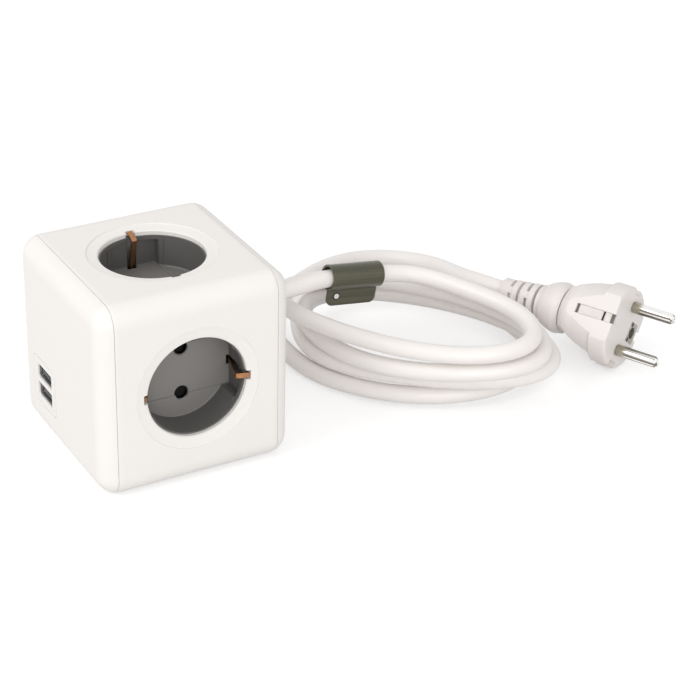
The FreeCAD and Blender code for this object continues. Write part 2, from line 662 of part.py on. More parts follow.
def socket_cup():
    """Recess with flange, pin holes, clip slots, shutter pivot and pillars."""
    outer_radius = CUP_OUTER_RADIUS
    solid = revolved([
        (0, -CUP_FLOOR_DEPTH), (CUP_FLOOR_RADIUS - CUP_FLOOR_ROUND, -CUP_FLOOR_DEPTH),
        (CUP_FLOOR_RADIUS, -CUP_FLOOR_DEPTH + CUP_FLOOR_ROUND), (CUP_MOUTH_RADIUS, -SHELL_WALL),
        (FLANGE_RADIUS, -SHELL_WALL), (FLANGE_RADIUS, -SHELL_WALL - FLANGE_THICKNESS),
        (outer_radius, -SHELL_WALL - FLANGE_THICKNESS), (outer_radius, -CUP_BACK_DEPTH + CUP_BACK_CHAMFER),
        (outer_radius - CUP_BACK_CHAMFER, -CUP_BACK_DEPTH), (0, -CUP_BACK_DEPTH),
    ])
    pad_half = CUP_FLAT_HALF_WIDTH + CUP_WALL
    flange_back = -SHELL_WALL - FLANGE_THICKNESS
    solid = solid.fuse(box((-outer_radius, -pad_half, -CUP_BACK_DEPTH),
                           (outer_radius, pad_half, flange_back)))
    solid = solid.cut(box((-CUP_MOUTH_RADIUS, -CUP_FLAT_HALF_WIDTH, -CUP_FLOOR_DEPTH),
                          (CUP_MOUTH_RADIUS, CUP_FLAT_HALF_WIDTH, flange_back)))
    solid = solid.cut(cylinder(CUP_FLOOR_RADIUS, (0, 0, -CUP_FLOOR_DEPTH + CUP_FLOOR_ROUND), (0, 0, 0)))
    solid = solid.fuse(cylinder(PIVOT_RADIUS, (0, 0, -CUP_BACK_DEPTH), (0, 0, -PIVOT_END_DEPTH)))
    for x in (-PILLAR_OFFSET, PILLAR_OFFSET):
        for y in (-PILLAR_OFFSET, PILLAR_OFFSET):
            pillar = cylinder(PILLAR_RADIUS, (x, y, -CUP_BACK_DEPTH), (x, y, -BLOCK_DEPTH))
            solid = solid.fuse(pillar)
    for y in (-PIN_OFFSET, PIN_OFFSET):
        hole = cylinder(PIN_HOLE_RADIUS, (0, y, -CUP_FLOOR_DEPTH + 1), (0, y, -CUP_BACK_DEPTH - 1))
        sink = cone(PIN_HOLE_RADIUS + PIN_HOLE_CHAMFER, PIN_HOLE_RADIUS, (0, y, -CUP_FLOOR_DEPTH),
                    (0, y, -CUP_FLOOR_DEPTH - PIN_HOLE_CHAMFER))
        solid = solid.cut(hole).cut(sink)
    half = CLIP_WIDTH / 2 + CLIP_SLOT_CLEARANCE
    slot_inner = CLIP_WALL_RADIUS - CLIP_THICKNESS - CLIP_SLOT_CLEARANCE
    for side in (-1, 1):
        low, high = sorted((side * slot_inner, side * (outer_radius + 1)))
        slot = box((low, -half, -CUP_BACK_DEPTH - 1), (high, half, 0))
        solid = solid.cut(slot)
    return solid.removeSplitter()


def earth_clip():
    """One bent strip: two hooked arms joined by a strap behind the cup."""
    corners = [
        (CLIP_TIP_RADIUS, -CLIP_TIP_DEPTH), (CLIP_NOSE_RADIUS, -CLIP_NOSE_DEPTH),
        (CLIP_WALL_RADIUS, -CLIP_ROOT_DEPTH), (CLIP_WALL_RADIUS, -STRAP_DEPTH),
    ]
    radii = [CLIP_TIP_BEND, CLIP_NOSE_BEND, CLIP_STRAP_BEND]
    mirrored = [(-x, z) for x, z in reversed(corners)]
    return ribbon(corners + mirrored, radii + radii[::-1], CLIP_THICKNESS, CLIP_WIDTH)


def shutter():
    """Disc with two bevelled windows that turn into line with the pin holes."""
    front = -CUP_BACK_DEPTH - SHUTTER_CLEARANCE
    back = front - SHUTTER_THICKNESS
    hub = PIVOT_RADIUS + SHUTTER_HUB_WALL
    solid = cylinder(SHUTTER_RADIUS, (0, 0, back), (0, 0, front))
    solid = solid.fuse(cylinder(hub, (0, 0, back - SHUTTER_HUB_STEP), (0, 0, back)))
    solid = solid.cut(cylinder(PIVOT_RADIUS + PIVOT_CLEARANCE, (0, 0, back - 2), (0, 0, front + 2)))
    for pin_side in (90, 270):
        angle = math.radians(pin_side - SHUTTER_TURN)
        x, y = PIN_OFFSET * math.cos(angle), PIN_OFFSET * math.sin(angle)
        window = cylinder(SHUTTER_WINDOW_RADIUS, (x, y, back - 1), (x, y, front + 1))
        bevel = cone(SHUTTER_WINDOW_RADIUS + SHUTTER_WINDOW_BEVEL, SHUTTER_WINDOW_RADIUS, (x, y, front),
                     (x, y, front - SHUTTER_WINDOW_BEVEL))
        solid = solid.cut(window).cut(bevel)
    return solid.removeSplitter()


def shutter_spring():
    """Wire ring round the hub with two legs."""
    height = -CUP_BACK_DEPTH - SHUTTER_CLEARANCE - SHUTTER_THICKNESS - SPRING_WIRE_RADIUS - SPRING_CLEARANCE
    ring = Part.makeTorus(SPRING_RING_RADIUS, SPRING_WIRE_RADIUS, Vector(0, 0, height))
    solids = [ring]
    for angle in SPRING_LEG_ANGLES:
        turn = math.radians(angle)
        x, y = math.cos(turn), math.sin(turn)
        foot = (SPRING_RING_RADIUS * x, SPRING_RING_RADIUS * y, height)
        tip = (SPRING_LEG_REACH * x, SPRING_LEG_REACH * y, height)
        solids.append(cylinder(SPRING_WIRE_RADIUS, foot, tip))
    return joined(solids)


def contact_sleeve():
    """Slit tube that grips one plug pin."""
    top = -BLOCK_DEPTH - CONTACT_INSET
    low = top - CONTACT_LENGTH
    solid = revolved([
        (CONTACT_BORE, low), (CONTACT_RADIUS, low), (CONTACT_RADIUS, top - CONTACT_LEAD_IN),
        (CONTACT_RADIUS - CONTACT_EDGE, top), (CONTACT_RADIUS - CONTACT_EDGE * 2, top),
        (CONTACT_BORE, top - CONTACT_LEAD_IN * 2),
    ])
    slit_low = low + CONTACT_ROOT_LENGTH
    half = CONTACT_SLIT / 2
    for low_corner, high_corner in (((-CONTACT_RADIUS * 2, -half), (CONTACT_RADIUS * 2, half)),
                                    ((-half, -CONTACT_RADIUS * 2), (half, CONTACT_RADIUS * 2))):
        solid = solid.cut(box(low_corner + (slit_low,), high_corner + (top + 1,)))
    return solid


def contact_places(live):
    """Socket frame and pin side of each contact on one bar."""
    side = 1 if live else -1
    return [("front", side), ("back", side), ("top", -side), ("bottom", side)]


def contacts(live):
    sleeve = contact_sleeve()
    solids = []
    for name, side in contact_places(live):
        copy = sleeve.copy()
        copy.translate(Vector(0, side * PIN_OFFSET, 0))
        solids.append(placed(copy, SOCKET_FRAMES[name]))
    return solids


def bar_solid(live, growth):
    """Flat bar on one side of the block with a tongue to each contact."""
    inner_x = BLOCK_HALF_WIDTH
    outer_x = BAR_FACE_X
    half = BAR_WIDTH / 2
    row = PIN_OFFSET
    reach = TONGUE_OFFSET + TONGUE_WIDTH / 2
    tongue_half = TONGUE_WIDTH / 2 + growth
    sheet_half = BAR_THICKNESS / 2 + growth
    into_well = CONTACT_RADIUS / 2 if growth else 0
    far_tip = CONTACT_RADIUS + CONTACT_CLEARANCE - into_well
    near_tip = PIN_OFFSET + far_tip
    strips = [
        box((inner_x, -reach, row - half), (outer_x, reach, row + half)),
        box((inner_x, -half, -reach), (outer_x, half, reach)),
    ]
    tongues = []
    for z in (-TONGUE_OFFSET, TONGUE_OFFSET):
        tongues.append(box((near_tip, -tongue_half, z - sheet_half), (outer_x, tongue_half, z + sheet_half)))
    for y in (-TONGUE_OFFSET, TONGUE_OFFSET):
        tongues.append(box((far_tip, y - tongue_half, row - sheet_half),
                           (outer_x, y + tongue_half, row + sheet_half)))
    solid = joined(tongues) if growth else joined(strips + tongues)
    if not live:
        solid.rotate(Vector(0, 0, 0), Vector(0, 1, 0), 180)
    solid.translate(Vector(0, 0, MIDDLE_Z))
    return solid


def contact_block():
    """Moulded block that holds every contact in a well behind its pin hole."""
    block = box((-BLOCK_HALF_WIDTH, -BLOCK_HALF, MIDDLE_Z - BLOCK_HALF),
                (BLOCK_HALF_WIDTH, BLOCK_HALF, MIDDLE_Z + BLOCK_HALF))
    block = block.makeChamfer(BLOCK_CHAMFER, block.Edges)
    for frame in SOCKET_FRAMES.values():
        for y in (-PIN_OFFSET, PIN_OFFSET):
            well = cylinder(CONTACT_RADIUS + CONTACT_CLEARANCE, (0, y, -BLOCK_DEPTH + 1),
                            (0, y, -BLOCK_DEPTH - WELL_DEPTH))
            block = block.cut(placed(well, frame))
    for live in (True, False):
        block = block.cut(bar_solid(live, TONGUE_CLEARANCE / 2))
    return block.removeSplitter()


def earth_links():
    """Angle pieces that join neighbouring earth straps at the block's edges."""
    strap_outer = HALF - STRAP_DEPTH + CLIP_THICKNESS / 2
    strap_inner = strap_outer - CLIP_THICKNESS
    half = CLIP_WIDTH / 2
    upright = box((LINK_INSET, -strap_outer, half), (LINK_INSET + LINK_WIDTH, -strap_inner, strap_outer))
    leg = box((half, -strap_outer, strap_inner),
              (LINK_INSET + LINK_WIDTH, -strap_inner + LINK_WIDTH, strap_outer))
    link = upright.fuse(leg).removeSplitter()
    behind = link.mirror(Vector(0, 0, 0), Vector(0, 1, 0))
    below = behind.mirror(Vector(0, 0, 0), Vector(0, 0, 1))
    links = [link, behind, below]
    for solid in links:
        solid.translate(Vector(0, 0, MIDDLE_Z))
    return links


def plate_outline(growth, low_x, high_x):
    return rounded_plate(PLATE_CENTRE_Y, PLATE_CENTRE_Z, PLATE_WIDTH + 2 * growth, PLATE_HEIGHT + 2 * growth,
                         PLATE_CORNER + growth, low_x, high_x)


def port_heights():
    return (PLATE_CENTRE_Z - PORT_SPACING / 2, PLATE_CENTRE_Z + PORT_SPACING / 2)


def usb_plate():
    """Plate flush with the left face, held by a flange behind the wall."""
    face = plate_outline(0, -HALF, -INNER_HALF)
    flange = plate_outline(PLATE_FLANGE_MARGIN, -INNER_HALF, -INNER_HALF + PLATE_FLANGE_THICKNESS)
    solid = face.fuse(flange)
    for z in port_heights():
        grown = 2 * PORT_CLEARANCE
        solid = solid.cut(rounded_plate(PLATE_CENTRE_Y, z, PORT_WIDTH + grown, PORT_HEIGHT + grown,
                                        PORT_CORNER + PORT_CLEARANCE, -HALF - 1,
                                        -INNER_HALF + PLATE_FLANGE_THICKNESS + 1))
    return solid.removeSplitter()


def usb_port(z):
    """Folded sheet shell of one port, open to the left."""
    mouth = -HALF + PORT_MOUTH_INSET
    outer = rounded_plate(PLATE_CENTRE_Y, z, PORT_WIDTH, PORT_HEIGHT, PORT_CORNER, mouth, BOARD_FACE_X)
    inner = rounded_plate(PLATE_CENTRE_Y, z, PORT_WIDTH - 2 * PORT_SHEET, PORT_HEIGHT - 2 * PORT_SHEET,
                          PORT_CORNER - PORT_SHEET, mouth - 1, BOARD_FACE_X + 1)
    return outer.cut(inner)


def usb_tongue(z):
    """Insulating tongue with its root block at the back of the port."""
    width = PORT_WIDTH - 2 * PORT_SHEET - 2 * PORT_CLEARANCE
    height = PORT_HEIGHT - 2 * PORT_SHEET - 2 * PORT_CLEARANCE
    root = box((BOARD_FACE_X - TONGUE_ROOT, PLATE_CENTRE_Y - width / 2, z - height / 2),
               (BOARD_FACE_X, PLATE_CENTRE_Y + width / 2, z + height / 2))
    low_z = z - TONGUE_BOARD_DROP - TONGUE_BOARD_HEIGHT / 2
    tip_x = -HALF + PORT_MOUTH_INSET + TONGUE_BOARD_INSET
    tongue = box((tip_x, PLATE_CENTRE_Y - TONGUE_BOARD_WIDTH / 2, low_z),
                 (BOARD_FACE_X, PLATE_CENTRE_Y + TONGUE_BOARD_WIDTH / 2, low_z + TONGUE_BOARD_HEIGHT))
    return root.fuse(tongue).removeSplitter()


def usb_board():
    board = box((BOARD_FACE_X, BOARD_LOW_Y, BOARD_LOW_Z),
                (BOARD_FACE_X + BOARD_THICKNESS, BOARD_HIGH_Y, BOARD_HIGH_Z))
    for y, z in STANDOFF_PLACES:
        radius = BOARD_SCREW_RADIUS + SCREW_SHANK_CLEARANCE
        board = board.cut(cylinder(radius, (BOARD_FACE_X - 1, y, z),
                                   (BOARD_FACE_X + BOARD_THICKNESS + 1, y, z)))
    return board


def transformer():
    """Square core with a wound bobbin through it."""
    width, height, depth = TRANSFORMER_WIDTH, TRANSFORMER_HEIGHT, TRANSFORMER_DEPTH
    y, z = TRANSFORMER_Y, TRANSFORMER_Z
    core = box((BOARD_FACE_X - depth, y - width / 2, z - height / 2),
               (BOARD_FACE_X, y + width / 2, z + height / 2))
    window = box((BOARD_FACE_X - depth - 1, y - width / 2 + TRANSFORMER_LEG, z - height),
                 (BOARD_FACE_X - TRANSFORMER_LEG / 2, y + width / 2 - TRANSFORMER_LEG, z + height))
    bobbin_radius = width / 2 - TRANSFORMER_LEG
    middle = BOARD_FACE_X - BOBBIN_BOARD_GAP - bobbin_radius
    bobbin = cylinder(bobbin_radius, (middle, y, z - height / 2 + BOBBIN_INSET),
                      (middle, y, z + height / 2 - BOBBIN_INSET))
    return core.cut(window).fuse(bobbin).removeSplitter()


def capacitors():
    solids = []
    for spacing_y, spacing_z in CAPACITOR_SPACINGS:
        y, z = TRANSFORMER_Y + spacing_y, TRANSFORMER_Z + spacing_z
        solid = cylinder(CAPACITOR_RADIUS, (BOARD_FACE_X - CAPACITOR_HEIGHT, y, z), (BOARD_FACE_X, y, z))
        far_edges = [edge for edge in solid.Edges if edge.BoundBox.XMax < BOARD_FACE_X - CAPACITOR_HEIGHT / 2
                     and len(edge.Vertexes) == 1]
        solids.append(solid.makeFillet(CAPACITOR_ROUND, far_edges))
    return solids


def cord_gland():
    """Moulded relief: flange inside the wall, neck through it and a grooved taper outside."""
    flange_start = -SHELL_WALL - GLAND_FLANGE_THICKNESS
    profile = [
        (0, flange_start), (GLAND_FLANGE_RADIUS, flange_start), (GLAND_FLANGE_RADIUS, -SHELL_WALL),
        (GLAND_NECK_RADIUS - SCREW_SHANK_CLEARANCE, -SHELL_WALL),
        (GLAND_NECK_RADIUS - SCREW_SHANK_CLEARANCE, 0),
        (GLAND_ROOT_RADIUS, 0),
    ]
    pitch = GLAND_LENGTH / (GLAND_GROOVES + 1)
    for index in range(1, GLAND_GROOVES + 1):
        middle = pitch * index
        radius = GLAND_ROOT_RADIUS + (GLAND_TIP_RADIUS - GLAND_ROOT_RADIUS) * middle / GLAND_LENGTH
        start, end = middle - GLAND_GROOVE_WIDTH / 2, middle + GLAND_GROOVE_WIDTH / 2
        floor = radius - GLAND_GROOVE_DEPTH
        profile += [(radius, start), (floor, start), (floor, end), (radius, end)]
    profile += [(GLAND_TIP_RADIUS, GLAND_LENGTH), (0, GLAND_LENGTH)]
    return turned(revolved(profile), (1, 0, 0), (HALF, GLAND_Y, GLAND_Z))


def cord_stub():
    """Cord jacket inside the cube, between the gland and its cut end."""
    inner_face = INNER_HALF - GLAND_FLANGE_THICKNESS
    return cylinder(CORD_RADIUS, (STUB_END_X, GLAND_Y, GLAND_Z), (inner_face, GLAND_Y, GLAND_Z))


def wire_start(offset):
    """Where a wire leaves the cut end of the jacket."""
    return STUB_END_X, GLAND_Y + offset[0], GLAND_Z + offset[1]


def live_wire():
    end_z = MIDDLE_Z + PIN_OFFSET
    x, y, z = wire_start(LIVE_WIRE_OFFSET)
    return wire([
        (x, y, z), (WIRE_BEND_X, y, z), (WIRE_BEND_X, LIVE_WIRE_END_Y, end_z),
        (BAR_FACE_X, LIVE_WIRE_END_Y, end_z),
    ])


def neutral_wire():
    """Passes in front of the contact block, between the front and bottom earth straps."""
    end_z = MIDDLE_Z - PIN_OFFSET
    x, y, z = wire_start(NEUTRAL_WIRE_OFFSET)
    return wire([
        (x, y, z), (WIRE_BEND_X, y, z), (WIRE_BEND_X, WIRE_CROSSING_Y, WIRE_CROSSING_Z),
        (-WIRE_BEND_X, WIRE_CROSSING_Y, WIRE_CROSSING_Z), (-WIRE_BEND_X, NEUTRAL_WIRE_END_Y, end_z),
        (-BAR_FACE_X, NEUTRAL_WIRE_END_Y, end_z),
    ])


def earth_wire():
    clip_face = CLIP_WALL_RADIUS + CLIP_THICKNESS / 2
    x, y, z = wire_start(EARTH_WIRE_OFFSET)
    return cylinder(WIRE_RADIUS, (clip_face, y, z), (x, y, z))


def wire(points):
    path, radii = tangent_path(points, WIRE_SETBACK)
    return tube(path, WIRE_RADIUS)


def coil_point(turn):
    """Centre line of the coil, a number of turns after its top."""
    slant = math.radians(COIL_SLANT)
    angle = math.radians(90 - 360 * turn) - slant
    swing = math.sin(math.pi * max(0, turn - COIL_SWING_START) / COIL_SWING_TURNS) ** 2
    along = (COIL_LONG_HALF + COIL_LONG_GROWTH * turn + COIL_LONG_SWELL * swing) * math.cos(angle)
    across = (COIL_SHORT_HALF + COIL_SHORT_GROWTH * turn + COIL_SHORT_SWELL * swing) * math.sin(angle)
    x = COIL_CENTRE[0] + COIL_DRIFT[0] * turn + COIL_SWING[0] * swing
    y = COIL_CENTRE[1] + COIL_DRIFT[1] * turn + COIL_SWING[1] * swing
    x += along * math.cos(slant) - across * math.sin(slant)
    y += along * math.sin(slant) + across * math.cos(slant)
    z = CORD_RADIUS + COIL_PITCH * (COIL_END_TURN - turn)
    return Vector(x, y, z)


def coil_heading(turn):
    step = 0.0005
    return coil_point(turn + step).sub(coil_point(turn - step)).normalize()


def coil_ends():
    """Where the coil meets the free stretches: one cord diameter of straight at each end."""
    start = coil_point(COIL_START_TURN).sub(flat_heading(COIL_START_TURN).multiply(CORD_DIAMETER))
    end = coil_point(COIL_END_TURN).add(flat_heading(COIL_END_TURN).multiply(CORD_DIAMETER))
    return start, end


def flat_heading(turn):
    heading = coil_heading(turn)
    if turn == COIL_END_TURN:
        heading.z = 0
    return heading.normalize()


def biarc(start, start_heading, end, end_heading):
    """Two arcs that join two points with given headings."""
    chord = end.sub(start)
    both = start_heading.add(end_heading)
    lean = 2 * (1 - start_heading.dot(end_heading))
    mixed = chord.dot(both)
    if abs(lean) < 1e-9:
        reach = chord.dot(chord) / (4 * chord.dot(end_heading))
    else:
        reach = (-mixed + math.sqrt(mixed * mixed + lean * chord.dot(chord))) / lean
    knee_a = start.add(Vector(start_heading).multiply(reach))
    knee_b = end.sub(Vector(end_heading).multiply(reach))
    joint = knee_a.add(knee_b).multiply(0.5)
    return [arc_from(start, start_heading, joint),
            arc_from(end, Vector(end_heading).multiply(-1), joint, True)]


def arc_from(start, heading, end, reverse=False):
    """Arc that leaves a point along a heading and ends at another."""
    chord = end.sub(start)
    side = chord.sub(Vector(heading).multiply(chord.dot(heading)))
    side.normalize()
    radius = chord.dot(chord) / (2 * chord.dot(side))
    centre = start.add(Vector(side).multiply(radius))
    middle = start.add(end).multiply(0.5).sub(centre).normalize().multiply(radius).add(centre)
    if reverse:
        return Part.Arc(end, middle, start).toShape()
    return Part.Arc(start, middle, end).toShape()


def coil_path():
    """Biarcs from step to step of the coil, with a short straight at each end."""
    start, end = coil_ends()
    spans = round((COIL_END_TURN - COIL_START_TURN) * COIL_STEPS_PER_TURN)
    turns = [COIL_START_TURN + (COIL_END_TURN - COIL_START_TURN) * i / spans for i in range(spans + 1)]
    edges = [Part.LineSegment(start, coil_point(turns[0])).toShape()]
    for first, second in zip(turns, turns[1:]):
        edges += biarc(coil_point(first), flat_heading(first), coil_point(second), flat_heading(second))
    edges.append(Part.LineSegment(coil_point(turns[-1]), end).toShape())
    return Part.Wire(edges)


def coil_self_gap():
    """Least clear distance between the coil's own turns."""
    samples = 90
    count = int((COIL_END_TURN - COIL_START_TURN) * samples)
    turns = [COIL_START_TURN + (COIL_END_TURN - COIL_START_TURN) * i / count for i in range(count + 1)]
    points = [coil_point(turn) for turn in turns]
    least = min(points[i].distanceToPoint(points[j]) for i in range(count + 1)
                for j in range(i + samples // 3, count + 1))
    return least - CORD_DIAMETER


def plug_frame():
    """Placement of the plug: pins along its own X, pin line along its own Y."""
    axis = Vector(*PLUG_AXIS).normalize()
    level = Vector(0, 0, 1).cross(axis).normalize()
    up = axis.cross(level)
    roll = math.radians(PLUG_ROLL)
    pin_line = Vector(level).multiply(math.cos(roll)).add(Vector(up).multiply(math.sin(roll)))
    normal = axis.cross(pin_line)
    rotation = FreeCAD.Rotation(axis, pin_line, normal, "XYZ")
    return FreeCAD.Placement(Vector(*PLUG_FACE_CENTRE), rotation)


def relief_end():
    """Tip of the plug's strain relief and the plug's axis."""
    axis = Vector(*PLUG_AXIS).normalize()
    length = -PLUG_WAIST_X + PLUG_COLLAR_LENGTH + RELIEF_LENGTH
    return Vector(*PLUG_FACE_CENTRE).sub(Vector(axis).multiply(length)), axis


def lead_route():
    start = Vector(HALF + GLAND_LENGTH, GLAND_Y, GLAND_Z)
    coil_start = coil_ends()[0]
    approach = coil_start.sub(flat_heading(COIL_START_TURN).multiply(CORD_END_RUN))
    return [tuple(start)] + LEAD_POINTS + [tuple(approach), tuple(coil_start)]


def tail_route():
    coil_end = coil_ends()[1]
    leave = coil_end.add(flat_heading(COIL_END_TURN).multiply(CORD_END_RUN))
    tip, axis = relief_end()
    arrive = tip.sub(Vector(axis).multiply(CORD_END_RUN))
    return [tuple(coil_end), tuple(leave)] + TAIL_POINTS + [tuple(arrive), tuple(tip)]


def cord_stretch(route, name):
    path, radii = tangent_path(route)
    solid = tube(path, CORD_RADIUS)
    expected = math.pi * CORD_RADIUS ** 2 * path.Length
    print(name, "radii", [round(radius, 1) for radius in radii], "length", round(path.Length, 1),
          "volume ratio", round(solid.Volume / expected, 4))
    return solid


def tag_frame():
    """Placement of the tag: its own X along the lead, its own Z up."""
    first, second = Vector(*LEAD_POINTS[1]), Vector(*LEAD_POINTS[2])
    along = second.sub(first).normalize()
    level = Vector(0, 0, 1).cross(along).normalize()
    place = first.add(Vector(along).multiply(TAG_START))
    return FreeCAD.Placement(place, FreeCAD.Rotation(along, level, along.cross(level), "XYZ"))


def cord_tag():
    """Strip wrapped round the cord, with its two ends riveted together below."""
    inner = CORD_RADIUS + TAG_CLEARANCE
    outer = inner + TAG_THICKNESS
    ring = cylinder(outer, (0, 0, 0), (TAG_LENGTH, 0, 0))
    ring = ring.cut(cylinder(inner, (-1, 0, 0), (TAG_LENGTH + 1, 0, 0)))
    lowest = -outer - TAG_DROP
    front = box((TAG_EDGE, -TAG_FLAG_THICKNESS, lowest),
                (TAG_LENGTH - TAG_EDGE, 0, -inner - TAG_THICKNESS / 2))
    corners = [edge for edge in front.Edges if abs(edge.tangentAt(edge.FirstParameter).y) > 0.9
               and edge.BoundBox.ZMax < lowest + 0.1]
    front = front.makeFillet(TAG_CORNER, corners)
    solid = ring.fuse(front)
    x, z = rivet_place()
    solid = solid.cut(cylinder(RIVET_BORE + RIVET_WALL + RIVET_CLEARANCE, (x, -outer, z), (x, outer, z)))
    return placed(solid.removeSplitter(), tag_frame())


def rivet_place():
    outer = CORD_RADIUS + TAG_CLEARANCE + TAG_THICKNESS
    return TAG_EDGE + RIVET_INSET, -outer - TAG_DROP + RIVET_INSET


def tag_rivet():
    """Eyelet through the flag of the tag."""
    x, z = rivet_place()
    front, back = -TAG_FLAG_THICKNESS, 0.0
    solid = cylinder(RIVET_RADIUS, (x, front - RIVET_HEAD, z), (x, front, z))
    solid = solid.fuse(cylinder(RIVET_RADIUS, (x, back, z), (x, back + RIVET_HEAD, z)))
    solid = solid.fuse(cylinder(RIVET_BORE + RIVET_WALL, (x, front, z), (x, back, z)))
    solid = solid.cut(cylinder(RIVET_BORE, (x, front - 2, z), (x, back + 2, z)))
    return placed(solid.removeSplitter(), tag_frame())


def plug_shoulder():
    """Drum and shoulder of the plug as a solid of revolution about its axis."""
    drum_back = -PLUG_DRUM_LENGTH
    rim = PLUG_DRUM_RADIUS - PLUG_DRUM_ROUND
    bulge = ((PLUG_SHOULDER_X + PLUG_WAIST_X) / 2 - PLUG_SHOULDER_BULGE,
             (PLUG_SHOULDER_RADIUS + PLUG_WAIST_RADIUS) / 2 + PLUG_SHOULDER_BULGE)
    round_middle = PLUG_DRUM_ROUND * (1 - math.sqrt(0.5))
    profile = [
        [(0, 0), (0, rim)],
        [(0, rim), (-round_middle, PLUG_DRUM_RADIUS - round_middle), (-PLUG_DRUM_ROUND, PLUG_DRUM_RADIUS)],
        [(-PLUG_DRUM_ROUND, PLUG_DRUM_RADIUS), (drum_back, PLUG_DRUM_RADIUS)],
        [(drum_back, PLUG_DRUM_RADIUS), (drum_back, PLUG_DRUM_RADIUS - PLUG_STEP)],
        [(drum_back, PLUG_DRUM_RADIUS - PLUG_STEP), (PLUG_SHOULDER_X, PLUG_SHOULDER_RADIUS)],
        [(PLUG_SHOULDER_X, PLUG_SHOULDER_RADIUS), bulge, (PLUG_WAIST_X, PLUG_WAIST_RADIUS)],
        [(PLUG_WAIST_X, PLUG_WAIST_RADIUS), (PLUG_WAIST_X, 0)],
        [(PLUG_WAIST_X, 0), (0, 0)],
    ]
    return revolved_about_x(profile)


def revolved_about_x(profile):
    edges = [curve_edge([Vector(x, radius, 0) for x, radius in piece]) for piece in profile]
    return Part.Face(Part.Wire(edges)).revolve(Vector(0, 0, 0), Vector(1, 0, 0), 360)


def grip_outline():
    """Outline of the plug seen square to its earth strips: narrowed grip behind the drum."""
    wide = PLUG_DRUM_RADIUS + 1
    start = (-PLUG_DRUM_LENGTH, PLUG_GRIP_HALF_WIDTH)
    neck = (PLUG_GRIP_END_X, PLUG_WAIST_RADIUS)
    end = (PLUG_WAIST_X, PLUG_WAIST_RADIUS)
    upper = [
        [(1, 0), (1, wide)], [(1, wide), (start[0], wide)], [(start[0], wide), start],
        [start, PLUG_GRIP_MIDDLE, neck], [neck, end], [end, (end[0], 0)],
    ]
    lower = [[(x, -y) for x, y in piece] for piece in upper]
    edges = [curve_edge([Vector(x, y, -wide) for x, y in piece]) for piece in upper]
    edges += [curve_edge([Vector(x, y, -wide) for x, y in piece[::-1]]) for piece in lower[::-1]]
    return Part.Face(Part.Wire(edges)).extrude(Vector(0, 0, 2 * wide))


def plug_collar():
    """Flared ring that the fingers pull on."""
    edge_x = PLUG_WAIST_X - PLUG_COLLAR_EDGE
    end_x = PLUG_WAIST_X - PLUG_COLLAR_LENGTH
    start_radius = PLUG_WAIST_RADIUS + PLUG_COLLAR_STEP
    middle = ((edge_x + end_x) / 2, (PLUG_COLLAR_RADIUS + PLUG_COLLAR_BACK_RADIUS) / 2 + PLUG_COLLAR_BULGE)
    profile = [
        [(PLUG_WAIST_X, 0), (PLUG_WAIST_X, start_radius)],
        [(PLUG_WAIST_X, start_radius), (edge_x, PLUG_COLLAR_RADIUS)],
        [(edge_x, PLUG_COLLAR_RADIUS), middle, (end_x, PLUG_COLLAR_BACK_RADIUS)],
        [(end_x, PLUG_COLLAR_BACK_RADIUS), (end_x, 0)],
        [(end_x, 0), (PLUG_WAIST_X, 0)],
    ]
    return revolved_about_x(profile)


def plug_body():
    """Drum with two flats at the pins, a narrowed grip behind it and a flared collar."""
    reach = PLUG_DRUM_RADIUS + 2
    flats = box((-reach * 2, -reach, -PLUG_FLAT), (1, reach, PLUG_FLAT))
    solid = plug_shoulder().common(grip_outline()).common(flats)
    solid = joined([solid, plug_collar()])
    notch_half = PLUG_NOTCH_WIDTH / 2
    slot_half = PLUG_SLOT_WIDTH / 2
    for side in (-1, 1):
        low, high = sorted((side * (PLUG_DRUM_RADIUS - PLUG_NOTCH_DEPTH), side * reach))
        solid = solid.cut(box((-PLUG_NOTCH_LENGTH, low, -notch_half), (1, high, notch_half)))
        low, high = sorted((side * strip_floor(), side * reach))
        solid = solid.cut(box((-PLUG_SLOT_LENGTH, -slot_half, low), (1, slot_half, high)))
        solid = solid.cut(plug_pin(side, True))
    return solid.cut(plug_earth_socket(True)).removeSplitter()


def strip_floor():
    return PLUG_FLAT - PLUG_SLOT_DEPTH


def plug_pin(side, as_cut=False):
    """Round pin with a rounded tip and a thinner root in the body."""
    y = side * PIN_OFFSET
    root = cylinder(PLUG_PIN_NECK_RADIUS, (-PLUG_PIN_ROOT, y, 0), (PLUG_PIN_NECK + 1, y, 0))
    if as_cut:
        return root
    pin = cylinder(PLUG_PIN_RADIUS, (PLUG_PIN_NECK, y, 0), (PLUG_PIN_LENGTH, y, 0))
    tip = [edge for edge in pin.Edges if edge.BoundBox.XMin > PLUG_PIN_LENGTH - 0.1]
    return joined([pin.makeFillet(PLUG_PIN_RADIUS * 0.8, tip), root])


def plug_strip(side):
    """Side earth strip, bent down to the floor of its slot at three places."""
    rest = strip_floor() + PLUG_STRIP_THICKNESS / 2
    points = [(x, rest + lift * PLUG_STRIP_LIFT) for x, lift in PLUG_STRIP_BENDS]
    radii = [PLUG_STRIP_BEND_RADIUS] * (len(points) - 2)
    strip = ribbon(points, radii, PLUG_STRIP_THICKNESS, PLUG_STRIP_WIDTH)
    if side < 0:
        strip.rotate(Vector(0, 0, 0), Vector(1, 0, 0), 180)
    return strip


